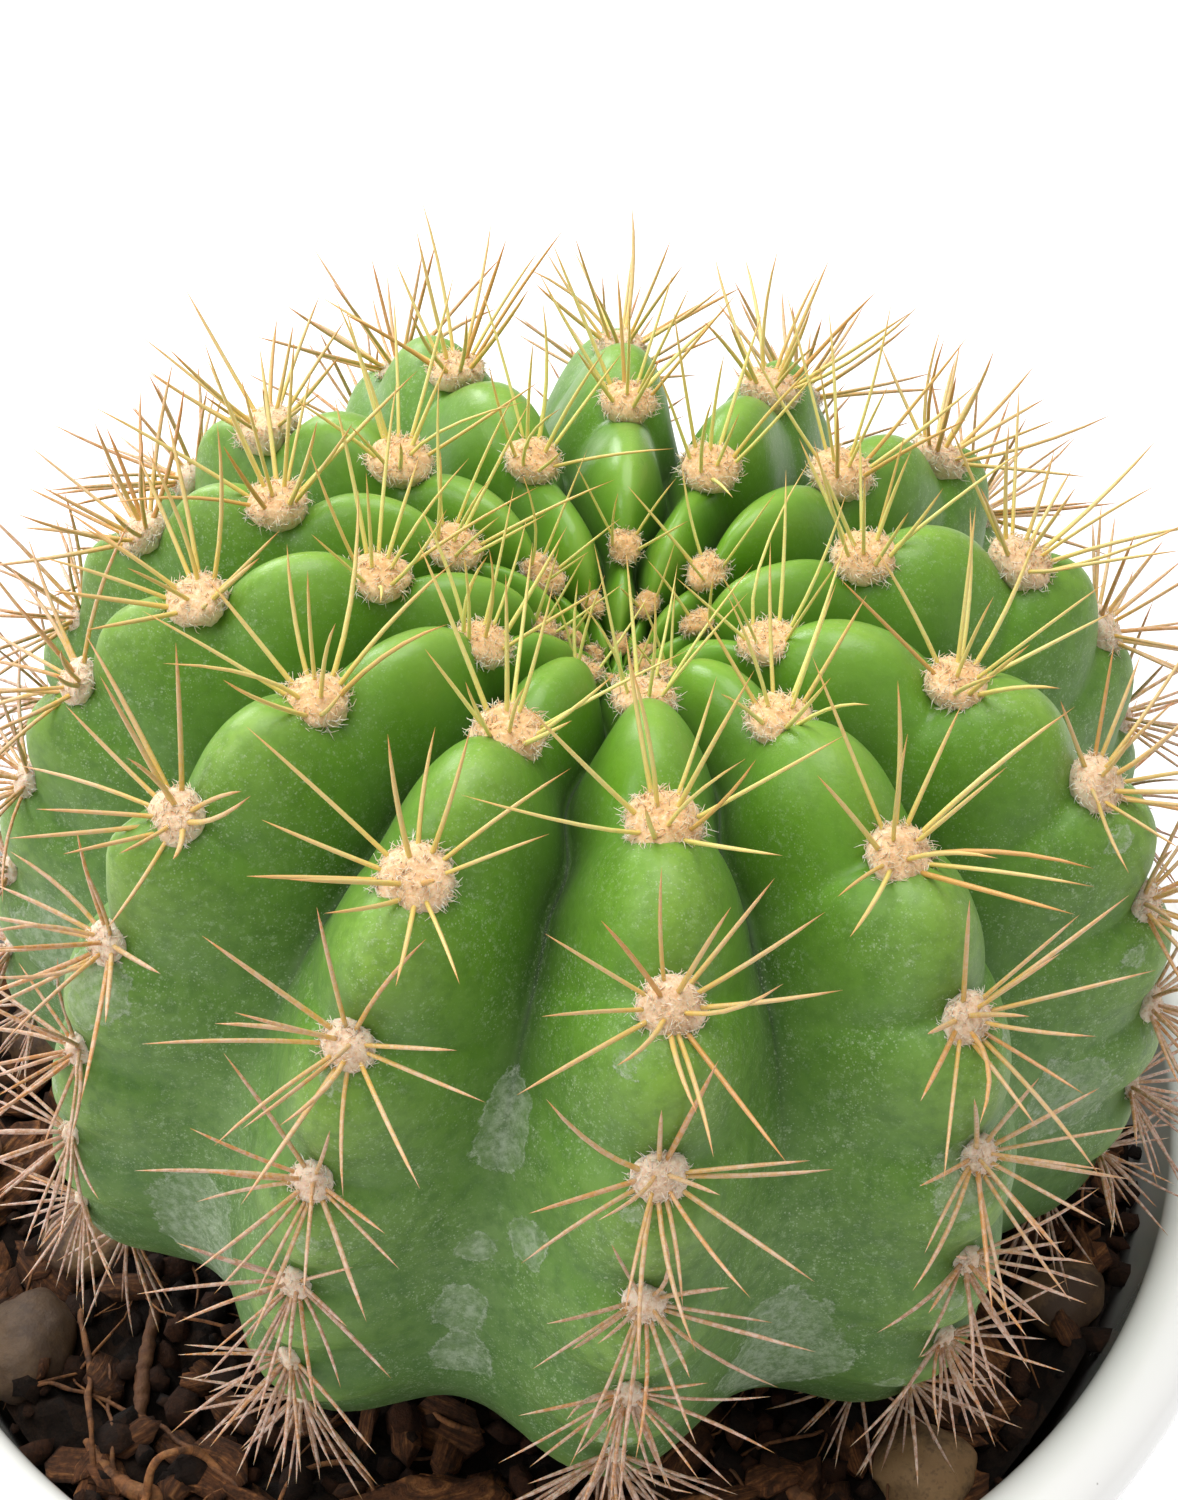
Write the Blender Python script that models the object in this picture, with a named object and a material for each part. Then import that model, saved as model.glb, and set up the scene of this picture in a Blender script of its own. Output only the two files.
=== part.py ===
"""Potted ball cactus.

A round cactus of thirteen ribs with a sunken crown, felted areoles and needle spines. It leans a little and
stands by its buried neck in a round glazed pot filled with potting mix, with loose bark chips, pebbles and
dry roots on top.

Metres, +Z up. The origin is the middle of the pot's flat underside, and the front looks along -Y.
"""
import math
import random

import bmesh
import bpy
import numpy as np
from mathutils import Matrix, Vector

MM = 0.001
SEED = 13
GAP = 0.35 * MM
SLIVER = 0.0003 * MM
WELD = 0.01 * MM
SHARP_DEG = {"cactus": 50, "pot": 40, "pebble": 60, "root": 65}

# Pot: a turned shell with a rounded lip, a rounded heel and three drain holes
POT_HEIGHT = 88 * MM
POT_MOUTH_RADIUS = 49 * MM
POT_WALL = 6 * MM
POT_BASE_RADIUS = 40 * MM
POT_HEEL = 3 * MM
HEEL_STEPS = 3
POT_FLOOR = 6 * MM
POT_SIDES = 48
LIP_STEPS = 8
DRAIN_RADIUS = 3 * MM
DRAIN_CIRCLE = 18 * MM
DRAIN_COUNT = 3
DRAIN_SIDES = 12
DRAIN_TURN = math.radians(33)

# Potting mix: a plug that fills the pot, with a lumpy top below the lip
SOIL_TOP = 79 * MM
SOIL_LUMP = 1.1 * MM
SOIL_LUMPS_AROUND = 9
SOIL_LUMPS_OUT = 5
SOIL_SWIRL = 40
SOIL_WANDER = 2
SOIL_LEVEL_RADIUS = 22 * MM
SOIL_FADE = 10 * MM
SOIL_SIDES = 40
SOIL_RINGS = 7
SOIL_CORE_RADIUS = 6 * MM

# Cactus body: crest line in its own upright frame, from the growing point out and down to the neck
BODY_CENTRE = Vector((4.5 * MM, -0.6 * MM, 109.2 * MM))
BODY_LEAN = math.radians(6.2)
BODY_RADIUS = 40 * MM
CREST_OUTLINE = (
    (0, 19.8), (3.8, 21.2), (8.5, 23.1), (14.4, 24.4), (20.9, 24.3), (27.5, 22.4), (33.0, 18.4),
    (36.6, 12.5), (39.2, 5.5), (40.5, -1.5), (41.0, -8.3), (40.4, -14.5), (37.6, -19.7),
    (31.5, -23.4), (24.0, -25.6), (19.0, -28.4), (16.5, -33.5), (13.5, -42.0), (7.5, -46.6), (0, -48.0),
)
CREST_SAMPLES = 12
CREST_REACH = 1 * MM
NECK_START = 88 * MM
NECK_ROWS = 4
NECK_HOLE_SPARE = 0.5 * MM
NECK_HOLE_START = 84 * MM
NECK_HOLE_ABOVE = 20 * MM
NECK_HOLE_SIDES = 26

# Ribs: thirteen, a little unevenly spread, measured from the front towards -X
RIB_COUNT = 13
RIB_START = math.radians(-11.2)
RIB_TURN_DEG = (7.5, 9.5, 10.3, 10.0, 2.1, -5.6, -4.3, -3.2, -6.6, -8.9, -9.4, -2.0, 3.8)
CROWN_SHIFT = Vector((-0.4 * MM, -2.1 * MM, 0))
VALLEY_SHARPNESS = 1.6
HUMP_LEAN = 0.75
HUMP_NARROWNESS = 1.5
VALLEY_SOFTNESS = ((0, 0), (24, 0.1), (40, 0.6), (56, 1), (200, 1))
VALLEY_DEPTH = (
    (0, 0), (4, 1.4), (8, 2.9), (16, 5.8), (24, 8.0), (32, 8.4), (42, 7.2), (54, 5.2), (66, 4.2), (76, 3.4),
    (86, 1.4), (92, 0), (200, 0),
)
HUMP_HEIGHT = (
    (0, 0), (5, 0.7), (10, 1.5), (20, 2.0), (42, 2.0), (56, 1.4), (68, 0.9), (76, 0.4), (80, 0), (200, 0),
)

# Areoles: along one rib a step apart, and on the next rib seven thirteenths of a step further out
AREOLE_STAGGER = 7 / 13
AREOLE_LEAD = (0, 0.08, 0.06, -0.09, 0, 0, 0.06, -0.04, 0, -0.09, 0.1, 0.05, -0.04)
CROWN_ARC = 0.25
CROWN_GROWTH = 1.22
STEP_ARC = 0.305
STEP_SHRINK = 0.0103
FIRST_STEP = -1
LAST_STEP = 7
ROW_OFFSETS = (-0.17, 0, 0.17, 0.5)
COLUMN_SPREAD = (0, 0.2, 0.6, 1)
PAD_HEIGHT = ((0, 0.2), (6, 0.5), (14, 1.0), (24, 1.3), (50, 1.2), (70, 0.8), (200, 0.5))
PAD_SHOULDER = 0.4
YOUNGEST_AREOLE = 5 * MM
OLDEST_AREOLE = 77 * MM

# Spines: three-sided needles that fan out of each areole
SPINE_BASE_RADIUS = 0.3 * MM
SPINE_SINK = 1.1 * MM
SPINE_RING = ((0, 0.6), (10, 0.8), (20, 1.15), (60, 1.15), (80, 0.9))
SPINE_SIDES = 3
SPINE_COUNT = ((0, 3), (8, 4), (18, 5), (26, 6), (46, 6), (58, 5), (72, 4))
SPINE_UNEVEN = 0.3
SPINE_LENGTH = ((0, 5.5), (8, 8.5), (20, 11.0), (40, 10.0), (60, 8.5), (80, 8.0))
SPINE_LENGTH_RANGE = (0.8, 1.15)
SPINE_SPREAD_DEG = ((0, 18), (10, 26), (20, 40), (34, 52), (60, 56), (80, 50))
SPINE_SPREAD_RANGE = (-9, 9)
SPINE_CHECKS = (0.35, 0.6, 0.8, 1)
SPINE_BENDS = 7
SPINE_BEND_UP = Vector((0, 0, 0.25))
SPINE_CLEAR_OF_SOIL = 85 * MM
SPINE_CLEAR_OF_RIM = 90 * MM
SPINE_RIM_ZONE = 47 * MM
SPINE_APART = 0.75 * MM
SPINE_SAMPLES = 24
SPINE_TRIES = 8

# Loose pieces: x, y, turn in degrees, then length, width and thickness, all lengths in millimetres.
# Each lies with its middle a share of its thickness above the soil's level
LOOSE_RISE = 0.12
BARK_CORNERS = 7
BARK_REACHES = (0.82, 1.08)
BARK_RINGS = ((-0.5, 0.78), (-0.1, 1.0), (0.28, 0.96), (0.5, 0.74))
BARK_TILT_DEG = 12
PEBBLE_TAPER = 0.1
BARK_CHIPS = (
    (-7.5, -38.0, 12, 13.0, 7.5, 3.6), (-19.5, -38.6, -34, 9.0, 6.0, 3.0),
    (11.0, -39.5, 20, 11.0, 6.5, 3.2), (37.5, -10.0, 80, 8.5, 5.6, 2.8),
    (-40.5, -8.5, 65, 10.0, 6.0, 3.0), (-34.0, 19.0, -55, 11.0, 7.0, 3.4),
    (-15.0, 39.0, 15, 12.0, 7.0, 3.2), (13.0, 40.0, -20, 10.0, 6.5, 3.0),
    (34.0, 22.5, 50, 9.5, 6.0, 3.0),
)
PEBBLES = (
    (-33.5, -14.5, 20, 7.6, 6.4, 5.0), (-36.8, -23.6, 70, 8.6, 7.0, 5.4),
    (27.5, -33.5, 10, 7.2, 6.2, 5.0), (39.4, -19.5, 40, 6.6, 5.6, 4.4),
    (-40.0, 5.0, 0, 7.4, 6.2, 4.8), (-25.5, 31.5, 30, 8.0, 6.6, 5.0),
    (1.5, 42.5, 60, 6.4, 5.4, 4.2), (26.5, 33.0, 80, 7.8, 6.4, 5.0),
)
ROOT_RADIUS = 0.7 * MM
ROOT_SIDES = 6
ROOT_STEPS = 8
ROOT_RISE = 0.3
ROOT_ARCH = 0.5 * MM
ROOT_PATHS = (
    ((-27.8, -19.0), (-28.6, -25.0), (-27.0, -32.5)),
    ((-31.6, -31.0), (-26.4, -37.6), (-23.6, -34.0)),
    ((14.5, -33.0), (20.0, -35.8), (22.0, -39.8)),
    ((-3.0, 37.2), (-7.2, 34.0), (-14.6, 33.4)),
)

COLOURS = {
    "glaze": (0.86, 0.86, 0.85, 0.12),
    "skin": (0.13, 0.33, 0.07, 0.42),
    "mix": (0.035, 0.022, 0.015, 0.95),
    "bark": (0.19, 0.085, 0.045, 0.85),
    "pebble": (0.46, 0.35, 0.24, 0.7),
    "root": (0.42, 0.21, 0.09, 0.8),
}


def clear_scene():
    """Removes whatever objects the scene holds."""
    for obj in list(bpy.data.objects):
        bpy.data.objects.remove(obj, do_unlink=True)


def material(name):
    """A plain surface of one colour and roughness for a sub-part."""
    red, green, blue, roughness = COLOURS[name]
    mat = bpy.data.materials.new(name)
    mat.use_nodes = True
    shader = mat.node_tree.nodes["Principled BSDF"]
    shader.inputs["Base Color"].default_value = (red, green, blue, 1)
    shader.inputs["Roughness"].default_value = roughness
    shader.inputs["Metallic"].default_value = 0
    return mat


def add_object(name, mesh, surface=None, collection=None):
    """Links a mesh to the scene as a named object."""
    obj = bpy.data.objects.new(name, mesh)
    (collection or bpy.context.scene.collection).objects.link(obj)
    if surface is not None:
        mesh.materials.append(surface)
    return obj


def mesh_of(bm, name):
    """Closes a bmesh into a mesh whose faces point out."""
    bmesh.ops.recalc_face_normals(bm, faces=bm.faces)
    mesh = bpy.data.meshes.new(name)
    bm.to_mesh(mesh)
    bm.free()
    return mesh


def soften(obj, kind):
    """Shades a round piece smooth and keeps the edges sharper than its kind's angle."""
    obj.data.shade_smooth()
    obj.data.set_sharp_from_angle(angle=math.radians(SHARP_DEG[kind]))


def apply_modifiers(obj):
    """Replaces the object's mesh by its evaluated one and drops the modifiers."""
    bpy.context.view_layer.update()
    evaluated = obj.evaluated_get(bpy.context.evaluated_depsgraph_get())
    mesh = bpy.data.meshes.new_from_object(evaluated)
    obj.modifiers.clear()
    obj.data = mesh


def close_slivers(obj):
    """Collapses the edges that a Boolean leaves too short to keep."""
    bm = bmesh.new()
    bm.from_mesh(obj.data)
    bmesh.ops.dissolve_degenerate(bm, dist=SLIVER, edges=bm.edges)
    bmesh.ops.triangulate(bm, faces=bm.faces)
    bm.to_mesh(obj.data)
    bm.free()


def boolean_with(obj, collection, operation, solver):
    """Joins or cuts an object with all the objects of a collection, and removes them."""
    step = obj.modifiers.new("Boolean", "BOOLEAN")
    step.operand_type = "COLLECTION"
    step.collection = collection
    step.operation = operation
    step.solver = solver
    apply_modifiers(obj)
    close_slivers(obj)
    for tool in list(collection.objects):
        bpy.data.objects.remove(tool, do_unlink=True)
    bpy.data.collections.remove(collection)


def tool_collection(name):
    """A collection for objects that are joined to, or cut from, another."""
    collection = bpy.data.collections.new(name)
    bpy.context.scene.collection.children.link(collection)
    return collection


def turned(profile, sides):
    """A bmesh turned round +Z from (radius, height) points; it starts and ends on the axis."""
    bm = bmesh.new()
    verts = [bm.verts.new((radius, 0, height)) for radius, height in profile]
    edges = [bm.edges.new(pair) for pair in zip(verts, verts[1:])]
    bmesh.ops.spin(
        bm, geom=verts + edges, cent=(0, 0, 0), axis=(0, 0, 1), angle=2 * math.pi, steps=sides,
        use_merge=True,
    )
    bmesh.ops.remove_doubles(bm, verts=bm.verts, dist=WELD)
    return bm


def graded(table, arc):
    """Reads a table of (arc, value) in millimetres at an arc length in metres; the value stays as listed."""
    places, values = zip(*table)
    return np.interp(arc, np.array(places) * MM, values)


def wall_radius(height):
    """Radius of the pot's inner wall at a height."""
    low = POT_BASE_RADIUS - POT_WALL
    return low + (POT_MOUTH_RADIUS - low) * (height - POT_FLOOR) / (POT_HEIGHT - POT_FLOOR)


# Crest line


def smooth_curve(points, samples):
    """Catmull-Rom curve through the points, with the given number of samples in each span."""
    pts = np.array(points, float)
    pts = np.vstack((2 * pts[0] - pts[1], pts, 2 * pts[-1] - pts[-2]))
    t = np.linspace(0, 1, samples, endpoint=False)[:, None]
    spans = []
    for before, start, end, after in zip(pts, pts[1:], pts[2:], pts[3:]):
        spans.append(0.5 * (
            2 * start + (end - before) * t + (2 * before - 5 * start + 4 * end - after) * t ** 2
            + (3 * start - before - 3 * end + after) * t ** 3))
    return np.vstack(spans + [pts[-2:-1]])


CREST = smooth_curve(CREST_OUTLINE, CREST_SAMPLES) * MM
CREST_ARC = np.concatenate(([0], np.cumsum(np.hypot(*np.diff(CREST, axis=0).T))))


def crest_at(arc):
    """Radius and height of the crest line, and its outward direction, at an arc length from the crown."""
    radius = np.interp(arc, CREST_ARC, CREST[:, 0])
    height = np.interp(arc, CREST_ARC, CREST[:, 1])
    ahead = np.minimum(arc + CREST_REACH, CREST_ARC[-1])
    behind = np.maximum(arc - CREST_REACH, 0)
    run = np.interp(ahead, CREST_ARC, CREST[:, 0]) - np.interp(behind, CREST_ARC, CREST[:, 0])
    rise = np.interp(ahead, CREST_ARC, CREST[:, 1]) - np.interp(behind, CREST_ARC, CREST[:, 1])
    length = np.hypot(run, rise)
    return radius, height, -rise / length, run / length


def step_place(step):
    """Arc length of an areole that lies this many steps out along its rib."""
    inner = CROWN_ARC * np.exp(CROWN_GROWTH * np.minimum(step, 0))
    outer = np.maximum(step, 0)
    return BODY_RADIUS * (inner + STEP_ARC * outer - STEP_SHRINK * outer ** 2)


def rib_azimuth(rib):
    """Azimuth of a rib's crest, with whole turns added past the last rib."""
    turns, index = divmod(rib, RIB_COUNT)
    spread = 2 * math.pi * index / RIB_COUNT
    return RIB_START + spread + math.radians(RIB_TURN_DEG[index]) + 2 * math.pi * turns


def rib_phase(rib):
    """How far a rib's areoles lie out from those of the first rib, in steps."""
    index = rib % RIB_COUNT
    return (AREOLE_STAGGER * index) % 1 + AREOLE_LEAD[index]


def surface_point(arc, azimuth, across, between):
    """A point of the ribbed skin.

    across is 0 on a crest and 1 in a valley. The skin lies below the crest line by the valley's depth times
    a power of across near the crown, and times a half cosine wave lower down, where valleys are soft. It
    stands above the line by the hump between two areoles, whose places are 0 and 1 in between. Both are
    measured along the crest line's outward direction. The crown sits a little to one side, by a shift that
    grows from the widest level up.
    """
    radius, height, out, up = crest_at(arc)
    soft = graded(VALLEY_SOFTNESS, arc)
    drop = across ** VALLEY_SHARPNESS * (1 - soft) + (1 - math.cos(math.pi * across)) / 2 * soft
    swell = np.sin(np.pi * between ** HUMP_LEAN) * (1 - across ** 2) ** HUMP_NARROWNESS
    pull = (graded(HUMP_HEIGHT, arc) * swell - graded(VALLEY_DEPTH, arc) * drop) * MM
    radius = np.maximum(radius + out * pull, 0)
    height = height + up * pull
    rise = max(math.atan2(height, radius), 0) / (math.pi / 2)
    point = Vector((-math.sin(azimuth) * radius, -math.cos(azimuth) * radius, height))
    return point + CROWN_SHIFT * rise ** 2


def placed(point):
    """Carries a point from the body's upright frame to its leaning place in the pot."""
    return Matrix.Rotation(BODY_LEAN, 3, "Y") @ point + BODY_CENTRE


# Cactus


def neck_arcs():
    """Arc lengths of the rows below the ribs, down the neck."""
    return np.linspace(NECK_START, CREST_ARC[-1], NECK_ROWS + 1)[:-1]


def rib_rows(rib):
    """Arc length and place between areoles of every row along one rib."""
    arcs, places = [], []
    for step in range(FIRST_STEP, LAST_STEP + 1):
        for offset in ROW_OFFSETS:
            arcs.append(float(step_place(step + rib_phase(rib) + offset)))
            places.append(offset % 1)
    return arcs, places


def body_columns():
    """Each column's azimuth, place across its rib, arcs and places between areoles."""
    columns = []
    for rib in range(RIB_COUNT):
        arcs, places = rib_rows(rib)
        for side in (-1, 1):
            near_arcs, near_places = rib_rows(rib + side)
            crest = rib_azimuth(rib)
            half_gap = abs(rib_azimuth(rib + side) - crest) / 2
            for spread in COLUMN_SPREAD:
                if (side < 0 and spread == 0) or (side > 0 and spread == 1):
                    continue
                share = 0 if spread <= COLUMN_SPREAD[1] else spread / 2
                mixed = [own * (1 - share) + other * share for own, other in zip(arcs, near_arcs)]
                columns.append((crest + side * half_gap * spread, spread, mixed, places))
    return sorted(columns, key=lambda column: column[0])


def cactus_body(surface):
    """The ribbed body, from the growing point over the ribs to the end of the buried neck."""
    columns = body_columns()
    neck = neck_arcs()
    verts, faces = [], []
    for azimuth, across, arcs, places in columns:
        for arc, place in zip(arcs, places):
            point = surface_point(arc, azimuth, across, place)
            if across == 0 and place == 0:
                _, _, out, up = crest_at(arc)
                lift = float(graded(PAD_HEIGHT, arc)) * MM
                point += Vector((-math.sin(azimuth) * out, -math.cos(azimuth) * out, up)) * lift
            verts.append(placed(point))
        verts.extend(placed(surface_point(arc, azimuth, across, 0)) for arc in neck)
    rows = len(verts) // len(columns)
    verts.append(placed(Vector((0, 0, CREST[0, 1])) + CROWN_SHIFT))
    verts.append(placed(Vector((0, 0, CREST[-1, 1]))))
    crown, foot = len(verts) - 2, len(verts) - 1
    for column in range(len(columns)):
        here, there = column * rows, (column + 1) % len(columns) * rows
        faces.append((crown, here, there))
        faces.append((foot, there + rows - 1, here + rows - 1))
        for row in range(rows - 1):
            faces.append((here + row, here + row + 1, there + row + 1, there + row))
    bm = bmesh.new()
    made = [bm.verts.new(vert) for vert in verts]
    for face in faces:
        bm.faces.new([made[index] for index in face])
    bmesh.ops.triangulate(bm, faces=bm.faces)
    return add_object("cactus", mesh_of(bm, "cactus"), surface)


def areoles():
    """Root point, outward, up-rib and sideways directions, and arc length, of every areole with spines."""
    found = []
    for rib in range(RIB_COUNT):
        azimuth = rib_azimuth(rib)
        for step in range(FIRST_STEP, LAST_STEP + 1):
            arc = float(step_place(step + rib_phase(rib)))
            if not YOUNGEST_AREOLE < arc < OLDEST_AREOLE:
                continue
            root = surface_point(arc, azimuth, 0, 0)
            _, _, out, up = crest_at(arc)
            normal = Vector((-math.sin(azimuth) * out, -math.cos(azimuth) * out, up))
            up_rib = Vector((math.sin(azimuth) * up, math.cos(azimuth) * up, out))
            turn = Matrix.Rotation(BODY_LEAN, 3, "Y")
            normal, up_rib = turn @ normal, turn @ up_rib
            lift = float(graded(PAD_HEIGHT, arc)) * MM * PAD_SHOULDER
            found.append((placed(root) + normal * lift, normal, up_rib, normal.cross(up_rib), arc))
    return found


def spine_is_clear(root, tip):
    """Whether a spine keeps above the soil and over the pot's lip."""
    for share in SPINE_CHECKS:
        point = root.lerp(tip, share)
        reach = math.hypot(point.x, point.y)
        floor = SPINE_CLEAR_OF_RIM if reach > SPINE_RIM_ZONE else SPINE_CLEAR_OF_SOIL
        if point.z < floor:
            return False
    return True


def spine_tip(root, direction, length):
    """Tip of a spine, bent up in small steps until it clears the soil and the lip; None if it can't."""
    for _ in range(SPINE_BENDS):
        tip = root + direction * length
        if spine_is_clear(root, tip):
            return tip
        direction = (direction + SPINE_BEND_UP).normalized()
    return None


def nearest_spine(root, tip, spines):
    """Least distance from a spine to those already placed, taken at points along it."""
    if not spines:
        return math.inf
    placed_spines = np.array(spines)
    starts, runs = placed_spines[:, 0], placed_spines[:, 1] - placed_spines[:, 0]
    shares = np.linspace(0, 1, SPINE_SAMPLES)[:, None, None]
    points = np.array(root) + shares * (np.array(tip) - np.array(root))
    away = points - starts
    along = np.clip((away * runs).sum(-1) / (runs ** 2).sum(-1), 0, 1)
    return float(np.linalg.norm(away - along[..., None] * runs, axis=-1).min())


def needle(name, root, tip, collection):
    """A three-sided needle from its sunk root to its tip."""
    axis = (tip - root).normalized()
    start = root - axis * SPINE_SINK
    bm = bmesh.new()
    bmesh.ops.create_cone(
        bm, cap_ends=True, segments=SPINE_SIDES, radius1=SPINE_BASE_RADIUS, radius2=0,
        depth=(tip - start).length,
    )
    bmesh.ops.remove_doubles(bm, verts=bm.verts, dist=WELD)
    turn = axis.to_track_quat("Z", "Y").to_matrix().to_4x4()
    bmesh.ops.transform(bm, matrix=Matrix.Translation((start + tip) / 2) @ turn, verts=bm.verts)
    add_object(name, mesh_of(bm, name), collection=collection)


def drawn_spine(areole, index, count, draw):
    """Seat and tip of one spine of an areole, drawn about its even share of the fan."""
    root, normal, up_rib, side, arc = areole
    around = 2 * math.pi * (index + 0.5 + draw.uniform(-SPINE_UNEVEN, SPINE_UNEVEN)) / count
    spread = math.radians(float(graded(SPINE_SPREAD_DEG, arc)) + draw.uniform(*SPINE_SPREAD_RANGE))
    length = float(graded(SPINE_LENGTH, arc)) * draw.uniform(*SPINE_LENGTH_RANGE) * MM
    fan = up_rib * math.cos(around) + side * math.sin(around)
    seat = root + fan * float(graded(SPINE_RING, arc)) * MM
    return seat, spine_tip(seat, normal * math.cos(spread) + fan * math.sin(spread), length)


def cactus(surface):
    """The body with its felted areoles, and the spines joined to it, each clear of the others."""
    draw = random.Random(SEED)
    body = cactus_body(surface)
    spines = tool_collection("spines")
    standing = []
    for areole in areoles():
        count = round(float(graded(SPINE_COUNT, areole[-1])))
        for index in range(count):
            for _ in range(SPINE_TRIES):
                seat, tip = drawn_spine(areole, index, count, draw)
                if tip is not None and nearest_spine(seat, tip, standing) > SPINE_APART:
                    needle(f"spine_{len(standing)}", seat, tip, spines)
                    standing.append((seat, tip))
                    break
    boolean_with(body, spines, "UNION", "MANIFOLD")
    soften(body, "cactus")
    return body


# Pot


def lip_arc():
    """Points of the rounded lip, over the wall's top from outside to inside."""
    centre_radius = POT_MOUTH_RADIUS + POT_WALL / 2
    centre_height = POT_HEIGHT - POT_WALL / 2
    return [
        (centre_radius + POT_WALL / 2 * math.cos(angle), centre_height + POT_WALL / 2 * math.sin(angle))
        for angle in np.linspace(0, math.pi, LIP_STEPS + 1)
    ]


def heel_arc():
    """Points of the rounded heel, from the underside out to the side."""
    return [
        (POT_BASE_RADIUS - POT_HEEL + POT_HEEL * math.sin(angle), POT_HEEL - POT_HEEL * math.cos(angle))
        for angle in np.linspace(0, math.pi / 2, HEEL_STEPS + 1)
    ]


def pot(surface):
    """The turned shell, with its drain holes cut through the floor."""
    inside = [(wall_radius(POT_FLOOR), POT_FLOOR), (0, POT_FLOOR)]
    profile = [(0, 0)] + heel_arc() + lip_arc() + inside
    shell = add_object("pot", mesh_of(turned(profile, POT_SIDES), "pot"), surface)
    drains = tool_collection("drains")
    for index in range(DRAIN_COUNT):
        angle = 2 * math.pi * index / DRAIN_COUNT + DRAIN_TURN
        bm = bmesh.new()
        bmesh.ops.create_cone(
            bm, cap_ends=True, segments=DRAIN_SIDES, radius1=DRAIN_RADIUS, radius2=DRAIN_RADIUS,
            depth=4 * POT_FLOOR,
        )
        place = Vector((math.cos(angle), math.sin(angle), 0)) * DRAIN_CIRCLE
        bmesh.ops.translate(bm, vec=place, verts=bm.verts)
        add_object(f"drain_{index}", mesh_of(bm, f"drain_{index}"), collection=drains)
    boolean_with(shell, drains, "DIFFERENCE", "EXACT")
    soften(shell, "pot")
    return shell


# Loose pieces


def soil_height(x, y):
    """Height of the soil's top: crossed waves round and out, level near the neck."""
    reach = np.hypot(x, y)
    around = np.arctan2(y, x)
    share = reach / POT_MOUTH_RADIUS
    round_waves = np.sin(SOIL_LUMPS_AROUND * around + SOIL_SWIRL * share)
    out_waves = np.cos(SOIL_LUMPS_OUT * np.pi * share + SOIL_WANDER * np.sin(3 * around))
    fade = np.clip((reach - SOIL_LEVEL_RADIUS) / SOIL_FADE, 0, 1)
    return SOIL_TOP + SOIL_LUMP * round_waves * out_waves * fade


def bark_chip(name, chip, grow, surface, collection=None):
    """A bark chip: an uneven slab of seven sides, widest at half its thickness."""
    x, y, turn, length, width, thickness = chip
    draw = random.Random(f"{SEED} {x} {y}")
    reaches = [draw.uniform(*BARK_REACHES) for _ in range(BARK_CORNERS)]
    bm = bmesh.new()
    rings = []
    for height, scale in BARK_RINGS:
        ring = []
        for corner, reach in enumerate(reaches):
            angle = 2 * math.pi * corner / BARK_CORNERS
            ring.append(bm.verts.new((
                (length / 2 * MM * reach * scale + grow) * math.cos(angle),
                (width / 2 * MM * reach * scale + grow) * math.sin(angle),
                thickness * MM * height + math.copysign(grow, height),
            )))
        rings.append(ring)
    for low, high in zip(rings, rings[1:]):
        for corner in range(BARK_CORNERS):
            after = (corner + 1) % BARK_CORNERS
            bm.faces.new((low[corner], low[after], high[after], high[corner]))
    bm.faces.new(rings[0][::-1])
    bm.faces.new(rings[-1])
    bmesh.ops.triangulate(bm, faces=bm.faces)
    tilt = Matrix.Rotation(math.radians(draw.uniform(-BARK_TILT_DEG, BARK_TILT_DEG)), 4, "X")
    height = SOIL_TOP + LOOSE_RISE * thickness * MM
    place = Matrix.Translation((x * MM, y * MM, height)) @ Matrix.Rotation(math.radians(turn), 4, "Z") @ tilt
    bmesh.ops.transform(bm, matrix=place, verts=bm.verts)
    return add_object(name, mesh_of(bm, name), surface, collection)


def pebble(name, stone, grow, surface, collection=None):
    """A worn pebble: an egg of three unlike radii."""
    x, y, turn, length, width, thickness = stone
    bm = bmesh.new()
    bmesh.ops.create_icosphere(bm, subdivisions=2, radius=1)
    for vert in bm.verts:
        vert.co.y *= 1 - PEBBLE_TAPER * vert.co.x
        vert.co = Vector((
            vert.co.x * (length / 2 * MM + grow),
            vert.co.y * (width / 2 * MM + grow),
            vert.co.z * (thickness / 2 * MM + grow),
        ))
    height = SOIL_TOP + LOOSE_RISE * thickness * MM
    place = Matrix.Translation((x * MM, y * MM, height)) @ Matrix.Rotation(math.radians(turn), 4, "Z")
    bmesh.ops.transform(bm, matrix=place, verts=bm.verts)
    obj = add_object(name, mesh_of(bm, name), surface, collection)
    soften(obj, "pebble")
    return obj


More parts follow.
